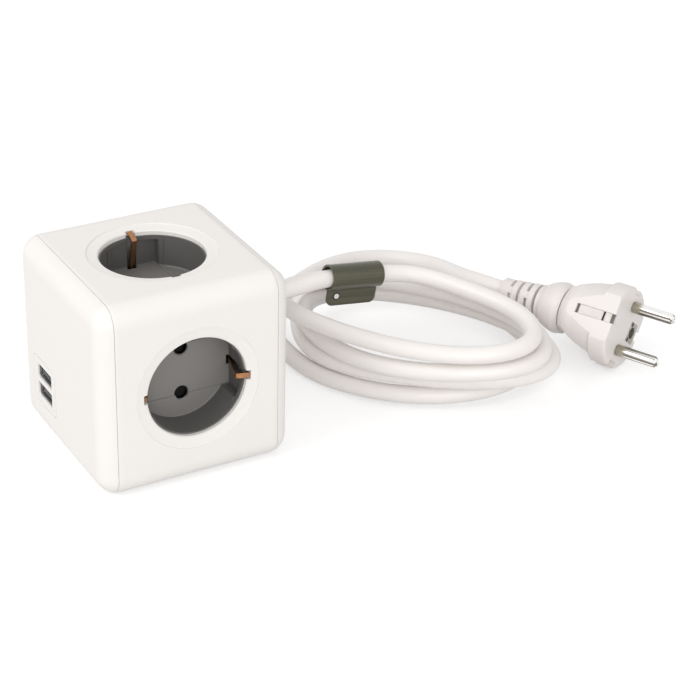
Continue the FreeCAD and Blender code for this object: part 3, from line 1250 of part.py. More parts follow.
def plug_earth_socket(as_cut=False):
    """Plate with a bore in the plug's face, for sockets with an earth pin."""
    depth, width, height = PLUG_EARTH_PLATE
    z = -PLUG_EARTH_OFFSET
    plate = box((-depth, -width / 2, z - height / 2), (0, width / 2, z + height / 2))
    barrel = cylinder(PLUG_EARTH_BORE + PLUG_EARTH_WALL, (-PLUG_EARTH_BORE_DEPTH, 0, z), (-depth / 2, 0, z))
    solid = plate.fuse(barrel)
    if as_cut:
        return solid
    bore = cylinder(PLUG_EARTH_BORE, (-PLUG_EARTH_BORE_DEPTH - 1, 0, z), (1, 0, z))
    return solid.cut(bore).removeSplitter()


def plug_relief():
    """Segmented strain relief: rings on a core, bridged by turns on alternate sides."""
    root_x = PLUG_WAIST_X - PLUG_COLLAR_LENGTH
    pitch = RELIEF_LENGTH / RELIEF_RINGS
    solids = [cylinder(RELIEF_CORE_RADIUS, (root_x, 0, 0), (root_x - RELIEF_LENGTH, 0, 0))]
    for index in range(RELIEF_RINGS):
        share = index / (RELIEF_RINGS - 1)
        radius = RELIEF_ROOT_RADIUS + (RELIEF_TIP_RADIUS - RELIEF_ROOT_RADIUS) * share
        ring_end = root_x - pitch * index
        ring_start = ring_end - pitch * (RELIEF_RING_SHARE if index < RELIEF_RINGS - 1 else 1)
        solids.append(cylinder(radius, (ring_start, 0, 0), (ring_end, 0, 0)))
        if index < RELIEF_RINGS - 1:
            reach = radius - RELIEF_BRIDGE_INSET
            half = RELIEF_BRIDGE_WIDTH / 2
            next_start = ring_end - pitch
            if index % 2:
                solids.append(box((next_start, -half, -reach), (ring_start, half, reach)))
            else:
                solids.append(box((next_start, -reach, -half), (ring_start, reach, half)))
    return joined(solids)


def export(name, solids):
    shapes = solids if isinstance(solids, list) else [solids]
    shape = shapes[0] if len(shapes) == 1 else Part.makeCompound(shapes)
    if not shape.isValid():
        print("invalid", name)
    shape.exportStep(os.path.join("parts", name + ".step"))
    print(name, len(shape.Solids), "solids", round(shape.Volume), "mm3")


os.makedirs("parts", exist_ok=True)
socket_band, left_cap, right_cap = shells()
export("socket_band", socket_band)
export("left_cap", left_cap)
export("right_cap", right_cap)
export("housing_screws", housing_screws())

cup = socket_cup()
clip = earth_clip()
shutter_disc = shutter()
spring = shutter_spring()
for socket_name, socket_frame in SOCKET_FRAMES.items():
    export(socket_name + "_cup", placed(cup, socket_frame))
    export(socket_name + "_earth_clip", placed(clip, socket_frame))
    export(socket_name + "_shutter", placed(shutter_disc, socket_frame))
export("shutter_springs", [placed(spring, frame) for frame in SOCKET_FRAMES.values()])

export("contact_block", contact_block())
export("live_contacts", contacts(True))
export("neutral_contacts", contacts(False))
export("live_bar", bar_solid(True, 0))
export("neutral_bar", bar_solid(False, 0))
export("earth_links", earth_links())

export("usb_plate", usb_plate())
for port_name, port_z in zip(("lower", "upper"), port_heights()):
    export(port_name + "_usb_port", usb_port(port_z))
    export(port_name + "_usb_tongue", usb_tongue(port_z))
export("usb_board", usb_board())
export("board_screws", board_screws())
export("usb_transformer", transformer())
export("usb_capacitors", capacitors())

export("cord_gland", cord_gland())
export("cord_stub", cord_stub())
export("live_wire", live_wire())
export("neutral_wire", neutral_wire())
export("earth_wire", earth_wire())
export("cord_clamp", cord_clamp())
export("clamp_screws", clamp_screws())
export("cord_lead", cord_stretch(lead_route(), "lead"))
coil_wire = coil_path()
coil = tube(coil_wire, CORD_RADIUS)
print("coil length", round(coil_wire.Length, 1), "volume ratio",
      round(coil.Volume / (math.pi * CORD_RADIUS ** 2 * coil_wire.Length), 4),
      "least gap", round(coil_self_gap(), 2))
export("cord_coil", coil)
export("cord_tail", cord_stretch(tail_route(), "tail"))
export("cord_tag", cord_tag())
export("tag_rivet", tag_rivet())

plug_place = plug_frame()
export("plug_body", placed(plug_body(), plug_place))
export("plug_live_pin", placed(plug_pin(1), plug_place))
export("plug_neutral_pin", placed(plug_pin(-1), plug_place))
export("plug_earth_strips", [placed(plug_strip(side), plug_place) for side in (-1, 1)])
export("plug_earth_socket", placed(plug_earth_socket(), plug_place))
export("plug_relief", placed(plug_relief(), plug_place))
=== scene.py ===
# %% [markdown]
# # A cube power strip with a coiled cord
#
# This lesson dresses a mains cube that was first drawn as exact solids. The solids arrive as a frame
# that never moves. Each step says what a piece or finish is on the real object, how it could be made,
# and why one way was picked. Blender works in metres, with Z up and the origin under the middle of the
# cube. Sizes below are in millimetres, as on a drawing, and are turned into metres where they are used.

# %% Load the frame
import json
import math

import bmesh
import bpy
from mathutils import Matrix, Vector


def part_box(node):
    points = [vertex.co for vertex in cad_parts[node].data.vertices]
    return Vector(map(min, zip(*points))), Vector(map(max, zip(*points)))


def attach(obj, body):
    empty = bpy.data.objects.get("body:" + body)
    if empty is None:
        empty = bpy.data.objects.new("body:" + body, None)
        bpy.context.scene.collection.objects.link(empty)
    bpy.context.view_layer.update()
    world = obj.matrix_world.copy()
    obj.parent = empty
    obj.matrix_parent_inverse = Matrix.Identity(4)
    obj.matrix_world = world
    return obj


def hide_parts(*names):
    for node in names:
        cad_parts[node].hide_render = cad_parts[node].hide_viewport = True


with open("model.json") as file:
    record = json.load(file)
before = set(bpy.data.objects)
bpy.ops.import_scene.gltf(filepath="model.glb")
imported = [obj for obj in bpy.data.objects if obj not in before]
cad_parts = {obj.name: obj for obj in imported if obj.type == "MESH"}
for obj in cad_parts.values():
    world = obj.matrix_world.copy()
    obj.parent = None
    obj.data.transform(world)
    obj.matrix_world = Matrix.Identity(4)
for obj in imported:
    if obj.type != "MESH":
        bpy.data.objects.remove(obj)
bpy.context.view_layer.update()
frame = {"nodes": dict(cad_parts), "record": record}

MM = 0.001
CUBE_HALF = 39.0
print("solids loaded:", len(frame["nodes"]))

# %% [markdown]
# ## Camera
#
# The photographer stood to the left and looked down on the set. The cube's straight edges fix the
# camera: its three directions and its distance were worked out once from where the corners appear, and
# a long lens keeps the edges nearly parallel. A matrix states that pose without any rounding by angles.

# %% Place the camera
CAMERA_PLACE = (-0.291598, -0.652376, 0.426696)
SENSOR_WIDTH, FOCAL_LENGTH = 36.0, 109.9
lens_right = Vector((0.8720215, -0.4889110, 0.0233344))
lens_down = Vector((-0.2162694, -0.4276285, -0.8777024))
lens_forward = Vector((0.4390968, 0.7603289, -0.4786377))
camera_data = bpy.data.cameras.new("studio_camera")
camera_data.sensor_width = SENSOR_WIDTH
camera_data.lens = FOCAL_LENGTH
camera = bpy.data.objects.new("studio_camera", camera_data)
camera.matrix_world = Matrix.Translation(CAMERA_PLACE) @ Matrix(
    (lens_right, -lens_down, -lens_forward)).transposed().to_4x4()
bpy.context.scene.collection.objects.link(camera)
bpy.context.scene.camera = camera
print("camera distance to the cube:", round(camera.location.length, 3))

# %% [markdown]
# ## Wiring shader nodes
#
# Every finish below is a small graph. One helper adds a node, sets its options and plugs in its
# inputs. A few short ones on top of it cover the nodes that come up again and again, so that each graph
# reads like a list of steps.


# %% Helpers for shader graphs
def add_node(tree, kind, inputs=None, **options):
    """Adds a shader node. An input is a plain value or another node's output."""
    made = tree.nodes.new("ShaderNode" + kind)
    for name, value in options.items():
        setattr(made, name, value)
    for key, value in (inputs or {}).items():
        if isinstance(value, bpy.types.NodeSocket):
            tree.links.new(value, made.inputs[key])
        else:
            made.inputs[key].default_value = value
    return made


def connect(tree, node, results):
    """Plugs results into a node's named inputs."""
    for name, result in results.items():
        tree.links.new(result, node.inputs[name])


def object_place(tree):
    return add_node(tree, "TexCoord").outputs["Object"]


def calculate(tree, operation, *values):
    return add_node(tree, "Math", dict(enumerate(values)), operation=operation).outputs[0]


def calculate_vector(tree, operation, *values):
    return add_node(tree, "VectorMath", dict(enumerate(values)), operation=operation).outputs["Vector"]


def dot_product(tree, first, second):
    return add_node(tree, "VectorMath", {0: first, 1: second}, operation="DOT_PRODUCT").outputs["Value"]


def turned_about(tree, axis, vector, angle):
    return add_node(tree, "VectorRotate", {"Vector": vector, "Angle": angle},
                    rotation_type=axis + "_AXIS").outputs["Vector"]


def remap(tree, value, from_min, from_max, to_min=0.0, to_max=1.0):
    """Stretches the range between two values to another range, and stops at its ends."""
    return add_node(tree, "MapRange", {"Value": value, "From Min": from_min, "From Max": from_max,
                                       "To Min": to_min, "To Max": to_max}).outputs["Result"]


def noise(tree, place, scale, detail, roughness=0.5):
    return add_node(tree, "TexNoise", {"Vector": place, "Scale": scale, "Detail": detail,
                                       "Roughness": roughness}).outputs["Fac"]


def mix_colours(tree, share, first, second):
    return add_node(tree, "Mix", {0: share, 6: first, 7: second}, data_type="RGBA").outputs[2]


print("shader helpers ready")

# %% [markdown]
# ## Groups of nodes
#
# An effect that several materials share is built once, as a group with named sockets. Each material
# then places the group and fills in its own values. The helpers here start a group and place one.


# %% Helpers for node groups
def new_group(name, inputs, outputs):
    """Starts a shader node group with named sockets and returns its tree and both ends."""
    tree = bpy.data.node_groups.new(name, "ShaderNodeTree")
    for socket_name, kind, value in inputs:
        socket = tree.interface.new_socket(socket_name, in_out="INPUT", socket_type="NodeSocket" + kind)
        socket.default_value = value
    for socket_name, kind in outputs:
        tree.interface.new_socket(socket_name, in_out="OUTPUT", socket_type="NodeSocket" + kind)
    return tree, tree.nodes.new("NodeGroupInput").outputs, tree.nodes.new("NodeGroupOutput")


def fill_group(tree, group, inputs):
    """Places a group in a material and returns its outputs."""
    return add_node(tree, "Group", inputs, node_tree=group).outputs


SURFACE_OUTPUTS = [("Colour", "Color"), ("Roughness", "Float"), ("Height", "Float")]
print("group helpers ready")

# %% [markdown]
# ## Skin of moulded plastic
#
# The cube, its grey cups and the plug are injection moulded. Such a part copies the fine spark texture
# of its mould, and its colour is never quite even. Image textures would need unwrapping, so noise in
# object space does the work: a fine one for the grain, a broad one for slow changes of shade and gloss.

# %% The moulded skin group
GRAIN_PER_SIZE = 500.0
skin_tree, skin_in, skin_out = new_group(
    "moulded_skin",
    [("Tint", "Color", (0.8, 0.8, 0.8, 1.0)), ("Grain Size", "Float", 0.3), ("Mottle", "Float", 0.03),
     ("Base Roughness", "Float", 0.5), ("Gloss Change", "Float", 0.08)], SURFACE_OUTPUTS)
skin_place = object_place(skin_tree)
grain_scale = calculate(skin_tree, "DIVIDE", GRAIN_PER_SIZE, skin_in["Grain Size"])
grain = noise(skin_tree, skin_place, grain_scale, detail=2.0)
broad = noise(skin_tree, skin_place, scale=38.0, detail=4.0)
swing = remap(skin_tree, broad, from_min=0.3, from_max=0.7, to_min=-1.0)
shade = calculate(skin_tree, "MULTIPLY_ADD", swing, skin_in["Mottle"], 1.0)
shaded = add_node(skin_tree, "VectorMath", {0: skin_in["Tint"], "Scale": shade}, operation="SCALE")
gloss = calculate(skin_tree, "MULTIPLY_ADD", swing, skin_in["Gloss Change"], skin_in["Base Roughness"])
connect(skin_tree, skin_out, {"Colour": shaded.outputs["Vector"], "Roughness": gloss, "Height": grain})
print("group ready:", skin_tree.name)

# %% [markdown]
# ## Worn and rounded edges
#
# No moulded or stamped edge is truly sharp, and hands polish the edges first. The Bevel node looks
# sideways by a small radius and gives the normal of a rounded edge. Where that normal leaves the true
# one there is an edge, so the same node also gives a mask for the wear.

# %% The rounded edge group
FLAT_FACING, EDGE_FACING = 0.995, 0.8
edge_tree, edge_in, edge_out = new_group(
    "rounded_edge", [("Radius", "Float", 0.0003), ("Wear", "Float", 0.5)],
    [("Mask", "Float"), ("Normal", "Vector")])
rounding = add_node(edge_tree, "Bevel", {"Radius": edge_in["Radius"]}, samples=6).outputs["Normal"]
true_normal = add_node(edge_tree, "NewGeometry").outputs["Normal"]
bend = remap(edge_tree, dot_product(edge_tree, rounding, true_normal), FLAT_FACING, EDGE_FACING)
rubbing = noise(edge_tree, object_place(edge_tree), scale=260.0, detail=3.0)
broken = calculate(edge_tree, "MULTIPLY", bend, rubbing)
wear_mask = calculate(edge_tree, "MULTIPLY", broken, edge_in["Wear"])
connect(edge_tree, edge_out, {"Mask": wear_mask, "Normal": rounding})
print("group ready:", edge_tree.name)

# %% [markdown]
# ## Handled metal and painted reflections
#
# Copper clips darken where nothing rubs them, and nickel pins carry hair-fine lines along their length.
# On the pins the dark colour of the lines is a painted reflection.
# Stretched noise makes the lines: its space is squeezed hard in two directions and left long in one. A
# turn lays the lines along a pin that doesn't point along an axis.

# %% The handled metal and reflection group
CLOUD_GLOSS, LINE_GLOSS = 0.25, 0.12
metal_tree, metal_in, metal_out = new_group(
    "handled_metal_and_reflection",
    [("Bright", "Color", (0.8, 0.8, 0.8, 1.0)), ("Dull", "Color", (0.3, 0.3, 0.3, 1.0)),
     ("Tarnish", "Float", 0.4), ("Polish", "Float", 0.2),
     ("Line Stretch", "Vector", (40.0, 1600.0, 1600.0)), ("Line Turn", "Float", 0.0),
     ("Painted Reflection", "Float", 0.0)], SURFACE_OUTPUTS)
metal_place = object_place(metal_tree)
lined_up = turned_about(metal_tree, "Z", metal_place, metal_in["Line Turn"])
line_space = calculate_vector(metal_tree, "MULTIPLY", lined_up, metal_in["Line Stretch"])
lines = noise(metal_tree, line_space, scale=1.0, detail=3.0)
clouds = noise(metal_tree, metal_place, scale=210.0, detail=5.0, roughness=0.62)
cloud_mask = remap(metal_tree, clouds, from_min=0.38, from_max=0.68)
tarnish = calculate(metal_tree, "MULTIPLY", cloud_mask, metal_in["Tarnish"])
# Painted reflection: the colour of the lines gives the pins dark streaks, as a mirror of dark surroundings
# would
painted_reflection_mask = remap(metal_tree, lines, from_min=0.50, from_max=0.58, to_max=metal_in["Painted Reflection"])
tarnish_and_reflection_mask = calculate(metal_tree, "MAXIMUM", tarnish, painted_reflection_mask)
metal_colour = mix_colours(metal_tree, tarnish_and_reflection_mask, metal_in["Bright"], metal_in["Dull"])
dulling = calculate(metal_tree, "MULTIPLY_ADD", tarnish, CLOUD_GLOSS, metal_in["Polish"])
line_gloss = calculate(metal_tree, "MULTIPLY_ADD", lines, LINE_GLOSS, dulling)
connect(metal_tree, metal_out, {"Colour": metal_colour, "Roughness": line_gloss, "Height": lines})
print("group ready:", metal_tree.name)

# %% [markdown]
# ## Painted shade by depth
#
# Little light reaches into a socket, so its walls and the lower half of its clips are painted darker
# than the floor that faces the room, and the pin holes are painted black. All of this is painted shade.
# All four sockets look outwards from the middle of the cube, so the depth below the nearest face of the
# cube gives one mask for them all.

# %% The recess depth group
MASK_ENDS = [("From", "Float", 0.0), ("To", "Float", 0.01)]
depth_tree, depth_in, depth_out = new_group("recess_depth", MASK_ENDS, [("Mask", "Float")])
from_middle = calculate_vector(depth_tree, "SUBTRACT", object_place(depth_tree), (0.0, 0.0, CUBE_HALF * MM))
distances = calculate_vector(depth_tree, "ABSOLUTE", from_middle)
sides = add_node(depth_tree, "SeparateXYZ", {0: distances}).outputs
larger = calculate(depth_tree, "MAXIMUM", sides["X"], sides["Y"])
largest = calculate(depth_tree, "MAXIMUM", larger, sides["Z"])
depth = calculate(depth_tree, "SUBTRACT", CUBE_HALF * MM, largest)
connect(depth_tree, depth_out, {"Mask": remap(depth_tree, depth, depth_in["From"], depth_in["To"])})
print("group ready:", depth_tree.name)

# %% [markdown]
# ## Painted reflection at the pin roots, and streaks
#
# Two more masks. One runs along a straight line, for the plug's pins: near the root it paints on them a
# dull, yellowish reflection of the plug's face. The other makes long darker streaks along the tag round
# the cord.

# %% The distance and streak groups
along_tree, along_in, along_out = new_group(
    "distance_along", [("Direction", "Vector", (1.0, 0.0, 0.0))] + MASK_ENDS, [("Mask", "Float")])
travelled = dot_product(along_tree, object_place(along_tree), along_in["Direction"])
connect(along_tree, along_out, {"Mask": remap(along_tree, travelled, along_in["From"], along_in["To"])})

# Darker streaks along one direction, used on the tag
streak_tree, streak_in, streak_out = new_group(
    "lengthwise_streaks",
    [("Stretch", "Vector", (15.0, 600.0, 600.0)), ("Tilt", "Float", 0.0), ("Strength", "Float", 0.5)],
    [("Mask", "Float")])
levelled = turned_about(streak_tree, "Y", object_place(streak_tree), streak_in["Tilt"])
streak_space = calculate_vector(streak_tree, "MULTIPLY", levelled, streak_in["Stretch"])
streaks = noise(streak_tree, streak_space, scale=1.0, detail=2.0)
streak_mask = remap(streak_tree, streaks, from_min=0.42, from_max=0.60, to_max=streak_in["Strength"])
connect(streak_tree, streak_out, {"Mask": streak_mask})
print("groups ready:", along_tree.name, streak_tree.name)

# %% [markdown]
# ## Plastics and metals
#
# Two recipes cover nearly every finish, and they share their wiring. The shader stays in the material
# itself. Its changes over the surface come from the groups, and its fixed values are set straight on it.


# %% Recipes for plastic and metal
def start_material(name):
    """Empty material with a Principled shader on its output."""
    material = bpy.data.materials.new(name)
    material.use_nodes = True
    tree = material.node_tree
    tree.nodes.clear()
    shader = add_node(tree, "BsdfPrincipled")
    add_node(tree, "OutputMaterial", {"Surface": shader.outputs["BSDF"]})
    return material, tree, shader


def wired_material(name, group, values, edge_mm, wear, edge_colour, relief, relief_mm):
    """Material with the surface of a group, rounded and rubbed edges, and a fine relief."""
    material, tree, shader = start_material(name)
    surface = fill_group(tree, group, values)
    edges = fill_group(tree, edge_tree, {"Radius": edge_mm * MM, "Wear": wear})
    colour = mix_colours(tree, edges["Mask"], surface["Colour"], (*edge_colour, 1.0))
    bump = add_node(tree, "Bump", {"Height": surface["Height"], "Normal": edges["Normal"],
                                   "Strength": relief, "Distance": relief_mm * MM})
    connect(tree, shader, {"Base Color": colour, "Roughness": surface["Roughness"],
                           "Normal": bump.outputs["Normal"]})
    return material, shader


EDGE_GAIN, EDGE_LIFT = 1.12, 0.01


def moulded_plastic(name, tint, roughness, grain_mm=0.3, grain_depth_mm=0.004, mottle=0.02,
                    gloss_change=0.06, edge_mm=0.25, edge_tint=None, specular=0.5, wear=0.9):
    values = {"Tint": (*tint, 1.0), "Grain Size": grain_mm, "Mottle": mottle,
              "Base Roughness": roughness, "Gloss Change": gloss_change}
    rubbed = edge_tint or tuple(min(1.0, channel * EDGE_GAIN + EDGE_LIFT) for channel in tint)
    material, shader = wired_material(name, skin_tree, values, edge_mm, wear, rubbed,
                                      relief=0.6, relief_mm=grain_depth_mm)
    shader.inputs["Specular IOR Level"].default_value = specular
    return material


def worked_metal(name, bright, dull, tarnish=0.4, polish=0.2, stretch=(40.0, 1600.0, 1600.0),
                 line_depth_mm=0.002, edge_mm=0.15, line_turn=0.0, painted_reflection=0.0):
    values = {"Bright": (*bright, 1.0), "Dull": (*dull, 1.0), "Tarnish": tarnish, "Polish": polish,
              "Line Stretch": stretch, "Line Turn": line_turn, "Painted Reflection": painted_reflection}
    material, shader = wired_material(name, metal_tree, values, edge_mm, wear=0.7, edge_colour=bright,
                                      relief=0.5, relief_mm=line_depth_mm)
    shader.inputs["Metallic"].default_value = 1.0
    return material


print("recipes ready")

# %% [markdown]
# ## The plastics of this object
#
# White shells with a dry, fine grain. Grey cups that are smoother. A cord jacket with a soft satin
# sheen, and a plug of the same compound. An olive tag of flexible plastic. The rest hardly shows.

# %% Mix the plastics
plastics = {
    "housing_white": dict(tint=(0.855, 0.826, 0.795), roughness=0.55, grain_mm=0.35,
                          grain_depth_mm=0.006, mottle=0.008, edge_mm=0.12, wear=0.2),
    # The cups are one grey plastic: this dark tint is the painted shade of their walls, and the floor gets
    # a lighter painted tone
    "cup_grey": dict(tint=(0.125, 0.12, 0.115), roughness=0.45, grain_mm=0.4,
                     grain_depth_mm=0.006, mottle=0.03, edge_mm=0.02, specular=0.35, wear=0.0),
    "cord_white": dict(tint=(0.865, 0.825, 0.797), roughness=0.36, grain_mm=0.8,
                       mottle=0.015, gloss_change=0.05),
    "plug_white": dict(tint=(0.775, 0.73, 0.705), roughness=0.44, grain_mm=0.5,
                       grain_depth_mm=0.006, mottle=0.012, gloss_change=0.05, edge_mm=0.4),
    "tag_olive": dict(tint=(0.088, 0.086, 0.052), roughness=0.27, grain_depth_mm=0.008,
                      mottle=0.08, gloss_change=0.10, edge_tint=(0.15, 0.145, 0.10)),
    "shutter_grey": dict(tint=(0.010, 0.010, 0.010), roughness=0.6, mottle=0.05, specular=0.1),
    "port_plastic": dict(tint=(0.03, 0.03, 0.03), roughness=0.35, mottle=0.01),
    "rivet_white": dict(tint=(0.80, 0.79, 0.77), roughness=0.3),
    "rim_dark": dict(tint=(0.02, 0.02, 0.014), roughness=0.5),
    "block_black": dict(tint=(0.02, 0.02, 0.02), roughness=0.5, mottle=0.05),
    "core_dark": dict(tint=(0.03, 0.03, 0.032), roughness=0.6, mottle=0.15),
    "board_green": dict(tint=(0.02, 0.11, 0.05), roughness=0.35, mottle=0.12),
    "wire_brown": dict(tint=(0.12, 0.045, 0.02), roughness=0.3),
    "wire_blue": dict(tint=(0.02, 0.09, 0.30), roughness=0.3),
    "wire_green_yellow": dict(tint=(0.30, 0.45, 0.03), roughness=0.3),
}
finish = {name: moulded_plastic(name, **values) for name, values in plastics.items()}
print("plastics:", len(plastics))

# %% [markdown]
# ## The metals of this object
#
# Copper clips with brown clouds, nickel pins with dark lines along them that are a painted reflection,
# and the plug's tinned strips, with a dark painted shade on their folds and a duller finish for the
# contact plate in the plug's face.

# %% Mix the metals
PIN_HEADING = math.radians(63.9)
metals = {
    "clip_copper": dict(bright=(0.44, 0.215, 0.1), dull=(0.22, 0.10, 0.05), tarnish=0.6, polish=0.26),
    # The pins' dull colour and dark lines are a painted reflection
    "pin_nickel": dict(bright=(0.90, 0.885, 0.855), dull=(0.12, 0.105, 0.08), tarnish=0.05, polish=0.14,
                       stretch=(6.0, 700.0, 700.0), line_turn=PIN_HEADING, painted_reflection=0.9),
    "strip_metal": dict(bright=(0.55, 0.52, 0.50), dull=(0.42, 0.40, 0.375), tarnish=0.25, polish=0.45),
    # The dark colour of the folds is painted shade
    "fold_painted_shade": dict(bright=(0.20, 0.19, 0.17), dull=(0.10, 0.095, 0.085), tarnish=0.5, polish=0.5),
    "plate_metal": dict(bright=(0.50, 0.48, 0.43), dull=(0.15, 0.14, 0.115), tarnish=0.6, polish=0.42),
    "port_metal": dict(bright=(0.74, 0.74, 0.75), dull=(0.5, 0.5, 0.51), tarnish=0.3, polish=0.24),
    "contact_brass": dict(bright=(0.80, 0.62, 0.32), dull=(0.42, 0.30, 0.14), tarnish=0.5, polish=0.25),
    "screw_steel": dict(bright=(0.62, 0.62, 0.63), dull=(0.35, 0.35, 0.36), polish=0.3),
    "spring_steel": dict(bright=(0.55, 0.55, 0.56), dull=(0.3, 0.3, 0.31), tarnish=0.3, polish=0.3),
    "capacitor_can": dict(bright=(0.35, 0.38, 0.45), dull=(0.2, 0.22, 0.28)),
}
finish.update((name, worked_metal(name, **values)) for name, values in metals.items())
print("metals:", len(metals))

# %% [markdown]
# ## Shade the recesses and the tag
#
# A cup is drawn in the dark grey of its walls, which is a painted shade. Its floor gets a lighter
# painted tone from just above its depth, and the pin holes below it are painted black as shade. The
# clips are painted darker on their way down, as shade, and the tag gets its streaks.


# %% Tint by depth and by streak
def tint_where(material, group, inputs, tint):
    """Mixes a tint into a material's colour where a group's mask is 1."""
    tree = material.node_tree
    base = next(node for node in tree.nodes if node.type == "BSDF_PRINCIPLED").inputs["Base Color"]
    mask = fill_group(tree, group, inputs)["Mask"]
    tree.links.new(mix_colours(tree, mask, base.links[0].from_socket, (*tint, 1.0)), base)


def paint_shading_below(name, start_mm, end_mm, tint):
    tint_where(finish[name], depth_tree, {"From": start_mm * MM, "To": end_mm * MM}, tint)


CUP_FLOOR_DEPTH = 15.4
# Painted light and shade by depth: a lighter floor, black pin holes, and clips darker further down
paint_shading_below("cup_grey", CUP_FLOOR_DEPTH - 0.9, CUP_FLOOR_DEPTH - 0.4, (0.225, 0.215, 0.205))
paint_shading_below("cup_grey", CUP_FLOOR_DEPTH + 0.15, CUP_FLOOR_DEPTH + 0.8, (0.004, 0.004, 0.004))
paint_shading_below("clip_copper", 3.0, 9.0, (0.26, 0.15, 0.08))
tint_where(finish["tag_olive"], streak_tree,
           {"Stretch": (5.0, 560.0, 560.0), "Tilt": math.radians(-8.3), "Strength": 0.6},
           (0.042, 0.038, 0.022))
print("depth of a cup floor in mm:", CUP_FLOOR_DEPTH)

# %% [markdown]
# ## Dress the solids
#
# The record of the solids names a finish slot for each of them, and the dictionary above has a material
# under the same name. Only the materials change, so no solid is touched in shape or place.

# %% Give each solid its finish
for entry in frame["record"]["subparts"]:
    solid = frame["nodes"][entry["node"]]
    solid.data.materials.clear()
    solid.data.materials.append(finish[entry["material_slot"]])

# %% [markdown]
# ## Cord
#
# The cord is one length of round flexible lead: out of the cube's right side, through the tag, three
# and a half loose turns that sink to the floor, then round behind the coil and over to the plug. A mesh
# tube would show its rings, so one smooth NURBS spline carries a round bevel. Its first and last points
# are listed, and they end in the line of the plug.

# %% Ends of the cord
CORD_DIAMETER = 7.2
RELIEF_TIP, ARRIVAL = 57.6, 13.0
lead_points = [(59.0, 17.3, 39.0), (68.0, 17.3, 39.0), (84.0, 17.5, 40.1), (112.0, 18.0, 36.0),
               (128.5, 13.5, 33.3)]
tail_points = [(74.0, 53.0, 3.6), (84.0, 67.0, 3.6), (99.0, 78.0, 3.6), (117.0, 88.5, 3.6),
               (133.5, 92.5, 3.6), (147.5, 90.0, 3.6), (158.5, 82.0, 4.2), (164.5, 69.5, 6.2),
               (165.0, 55.0, 9.8), (162.0, 39.5, 14.2)]
plug_face = Vector((194.0, -39.4, 17.6))
plug_axis = Vector((0.44, -0.898, 0.0)).normalized()
relief_tip = plug_face - plug_axis * RELIEF_TIP
arrival = relief_tip - plug_axis * ARRIVAL
print("points placed by hand:", len(lead_points) + len(tail_points))

# %% [markdown]
# ## Turns of the coil
#
# The coil's turns are more points of the same spline: an ellipse that drifts and sinks as it goes
# round, and whose last turn swings out to the back. No hand lays turns as evenly as a formula does, so
# a list tells where a turn lies off its ellipse. A spline of this order passes inside its points, and
# the swell makes up for that.

# %% Points of the coil
first_turn, last_turn, points_per_turn = 0.25, 3.75, 16
COIL_SLANT = math.radians(-54)
SWING_START, SWING_LENGTH = 2.3, 2.3
LOWEST, SINK_PER_TURN = 3.65, 8.0
# Each size of the coil: its value at the top, its change per turn, and its change with the swing
HALF_LENGTH, HALF_WIDTH = (55.9, -0.7, 4.3), (28.5, 1.7, 9.0)
MIDDLE_X, MIDDLE_Y = (104.7, 5.7, -7.2), (-4.6, -0.6, 21.2)
# Where a turn lies off its ellipse: middle and half width in turns, then the offset in mm
loose_places = [(0.73, 0.20, (0.0, 2.2, 1.5)), (1.72, 0.20, (0.0, -4.6, -1.0)),
                (2.57, 0.28, (0.0, 5.0, 0.8)), (2.76, 0.14, (0.0, -2.6, -0.8)),
                (1.86, 0.24, (4.0, 0.0, 0.0)), (2.89, 0.18, (8.0, 0.0, 0.0))]


def loose_offset(turn):
    offset = Vector((0.0, 0.0, 0.0))
    for middle, half_width, reach in loose_places:
        share = min(1.0, abs(turn - middle) / half_width)
        offset += Vector(reach) * math.cos(share * math.pi / 2) ** 2
    return offset


def coil_point(turn):
    """Centre line of the coil, in turns after its top."""
    angle = math.radians(90 - 360 * turn) - COIL_SLANT
    swing = math.sin(math.pi * max(0.0, turn - SWING_START) / SWING_LENGTH) ** 2
    swell = 1.0 / math.cos(math.pi / points_per_turn)

    def size_now(at_top, per_turn, with_swing):
        return at_top + per_turn * turn + with_swing * swing

    along = size_now(*HALF_LENGTH) * swell * math.cos(angle)
    across = size_now(*HALF_WIDTH) * swell * math.sin(angle)
    return Vector((size_now(*MIDDLE_X) + along * math.cos(COIL_SLANT) - across * math.sin(COIL_SLANT),
                   size_now(*MIDDLE_Y) + along * math.sin(COIL_SLANT) + across * math.cos(COIL_SLANT),
                   LOWEST + SINK_PER_TURN * (last_turn - turn))) + loose_offset(turn)


steps = round((last_turn - first_turn) * points_per_turn)
coil_points = [coil_point(first_turn + (last_turn - first_turn) * step / steps)
               for step in range(steps + 1)]
print("points on the coil:", len(coil_points))

# %% [markdown]
# ## Laying the cord
#
# The points are joined to one curve object. A bevel gives it the round section, and its order is set
# after the points, because Blender limits the order by the number of points.

# %% Lay the cord
cord_route = [Vector(point) for point in lead_points] + coil_points
cord_route += [Vector(point) for point in tail_points] + [arrival, relief_tip]
cord_data = bpy.data.curves.new("flex_cord", "CURVE")
cord_data.dimensions = "3D"
cord_data.bevel_depth = CORD_DIAMETER / 2 * MM
cord_data.bevel_resolution = 8
cord_data.resolution_u = 6
cord_data.use_fill_caps = True
spline = cord_data.splines.new("NURBS")
spline.points.add(len(cord_route) - 1)
for point, place in zip(spline.points, cord_route):
    point.co = (*(place * MM), 1.0)
spline.order_u = 3
spline.use_endpoint_u = True
flex_cord = bpy.data.objects.new("flex_cord", cord_data)
bpy.context.scene.collection.objects.link(flex_cord)
flex_cord.data.materials.append(finish["cord_white"])
route_length = sum((b - a).length for a, b in zip(cord_route, cord_route[1:])) * MM
print("straight runs between the points, added up:", round(route_length, 3))

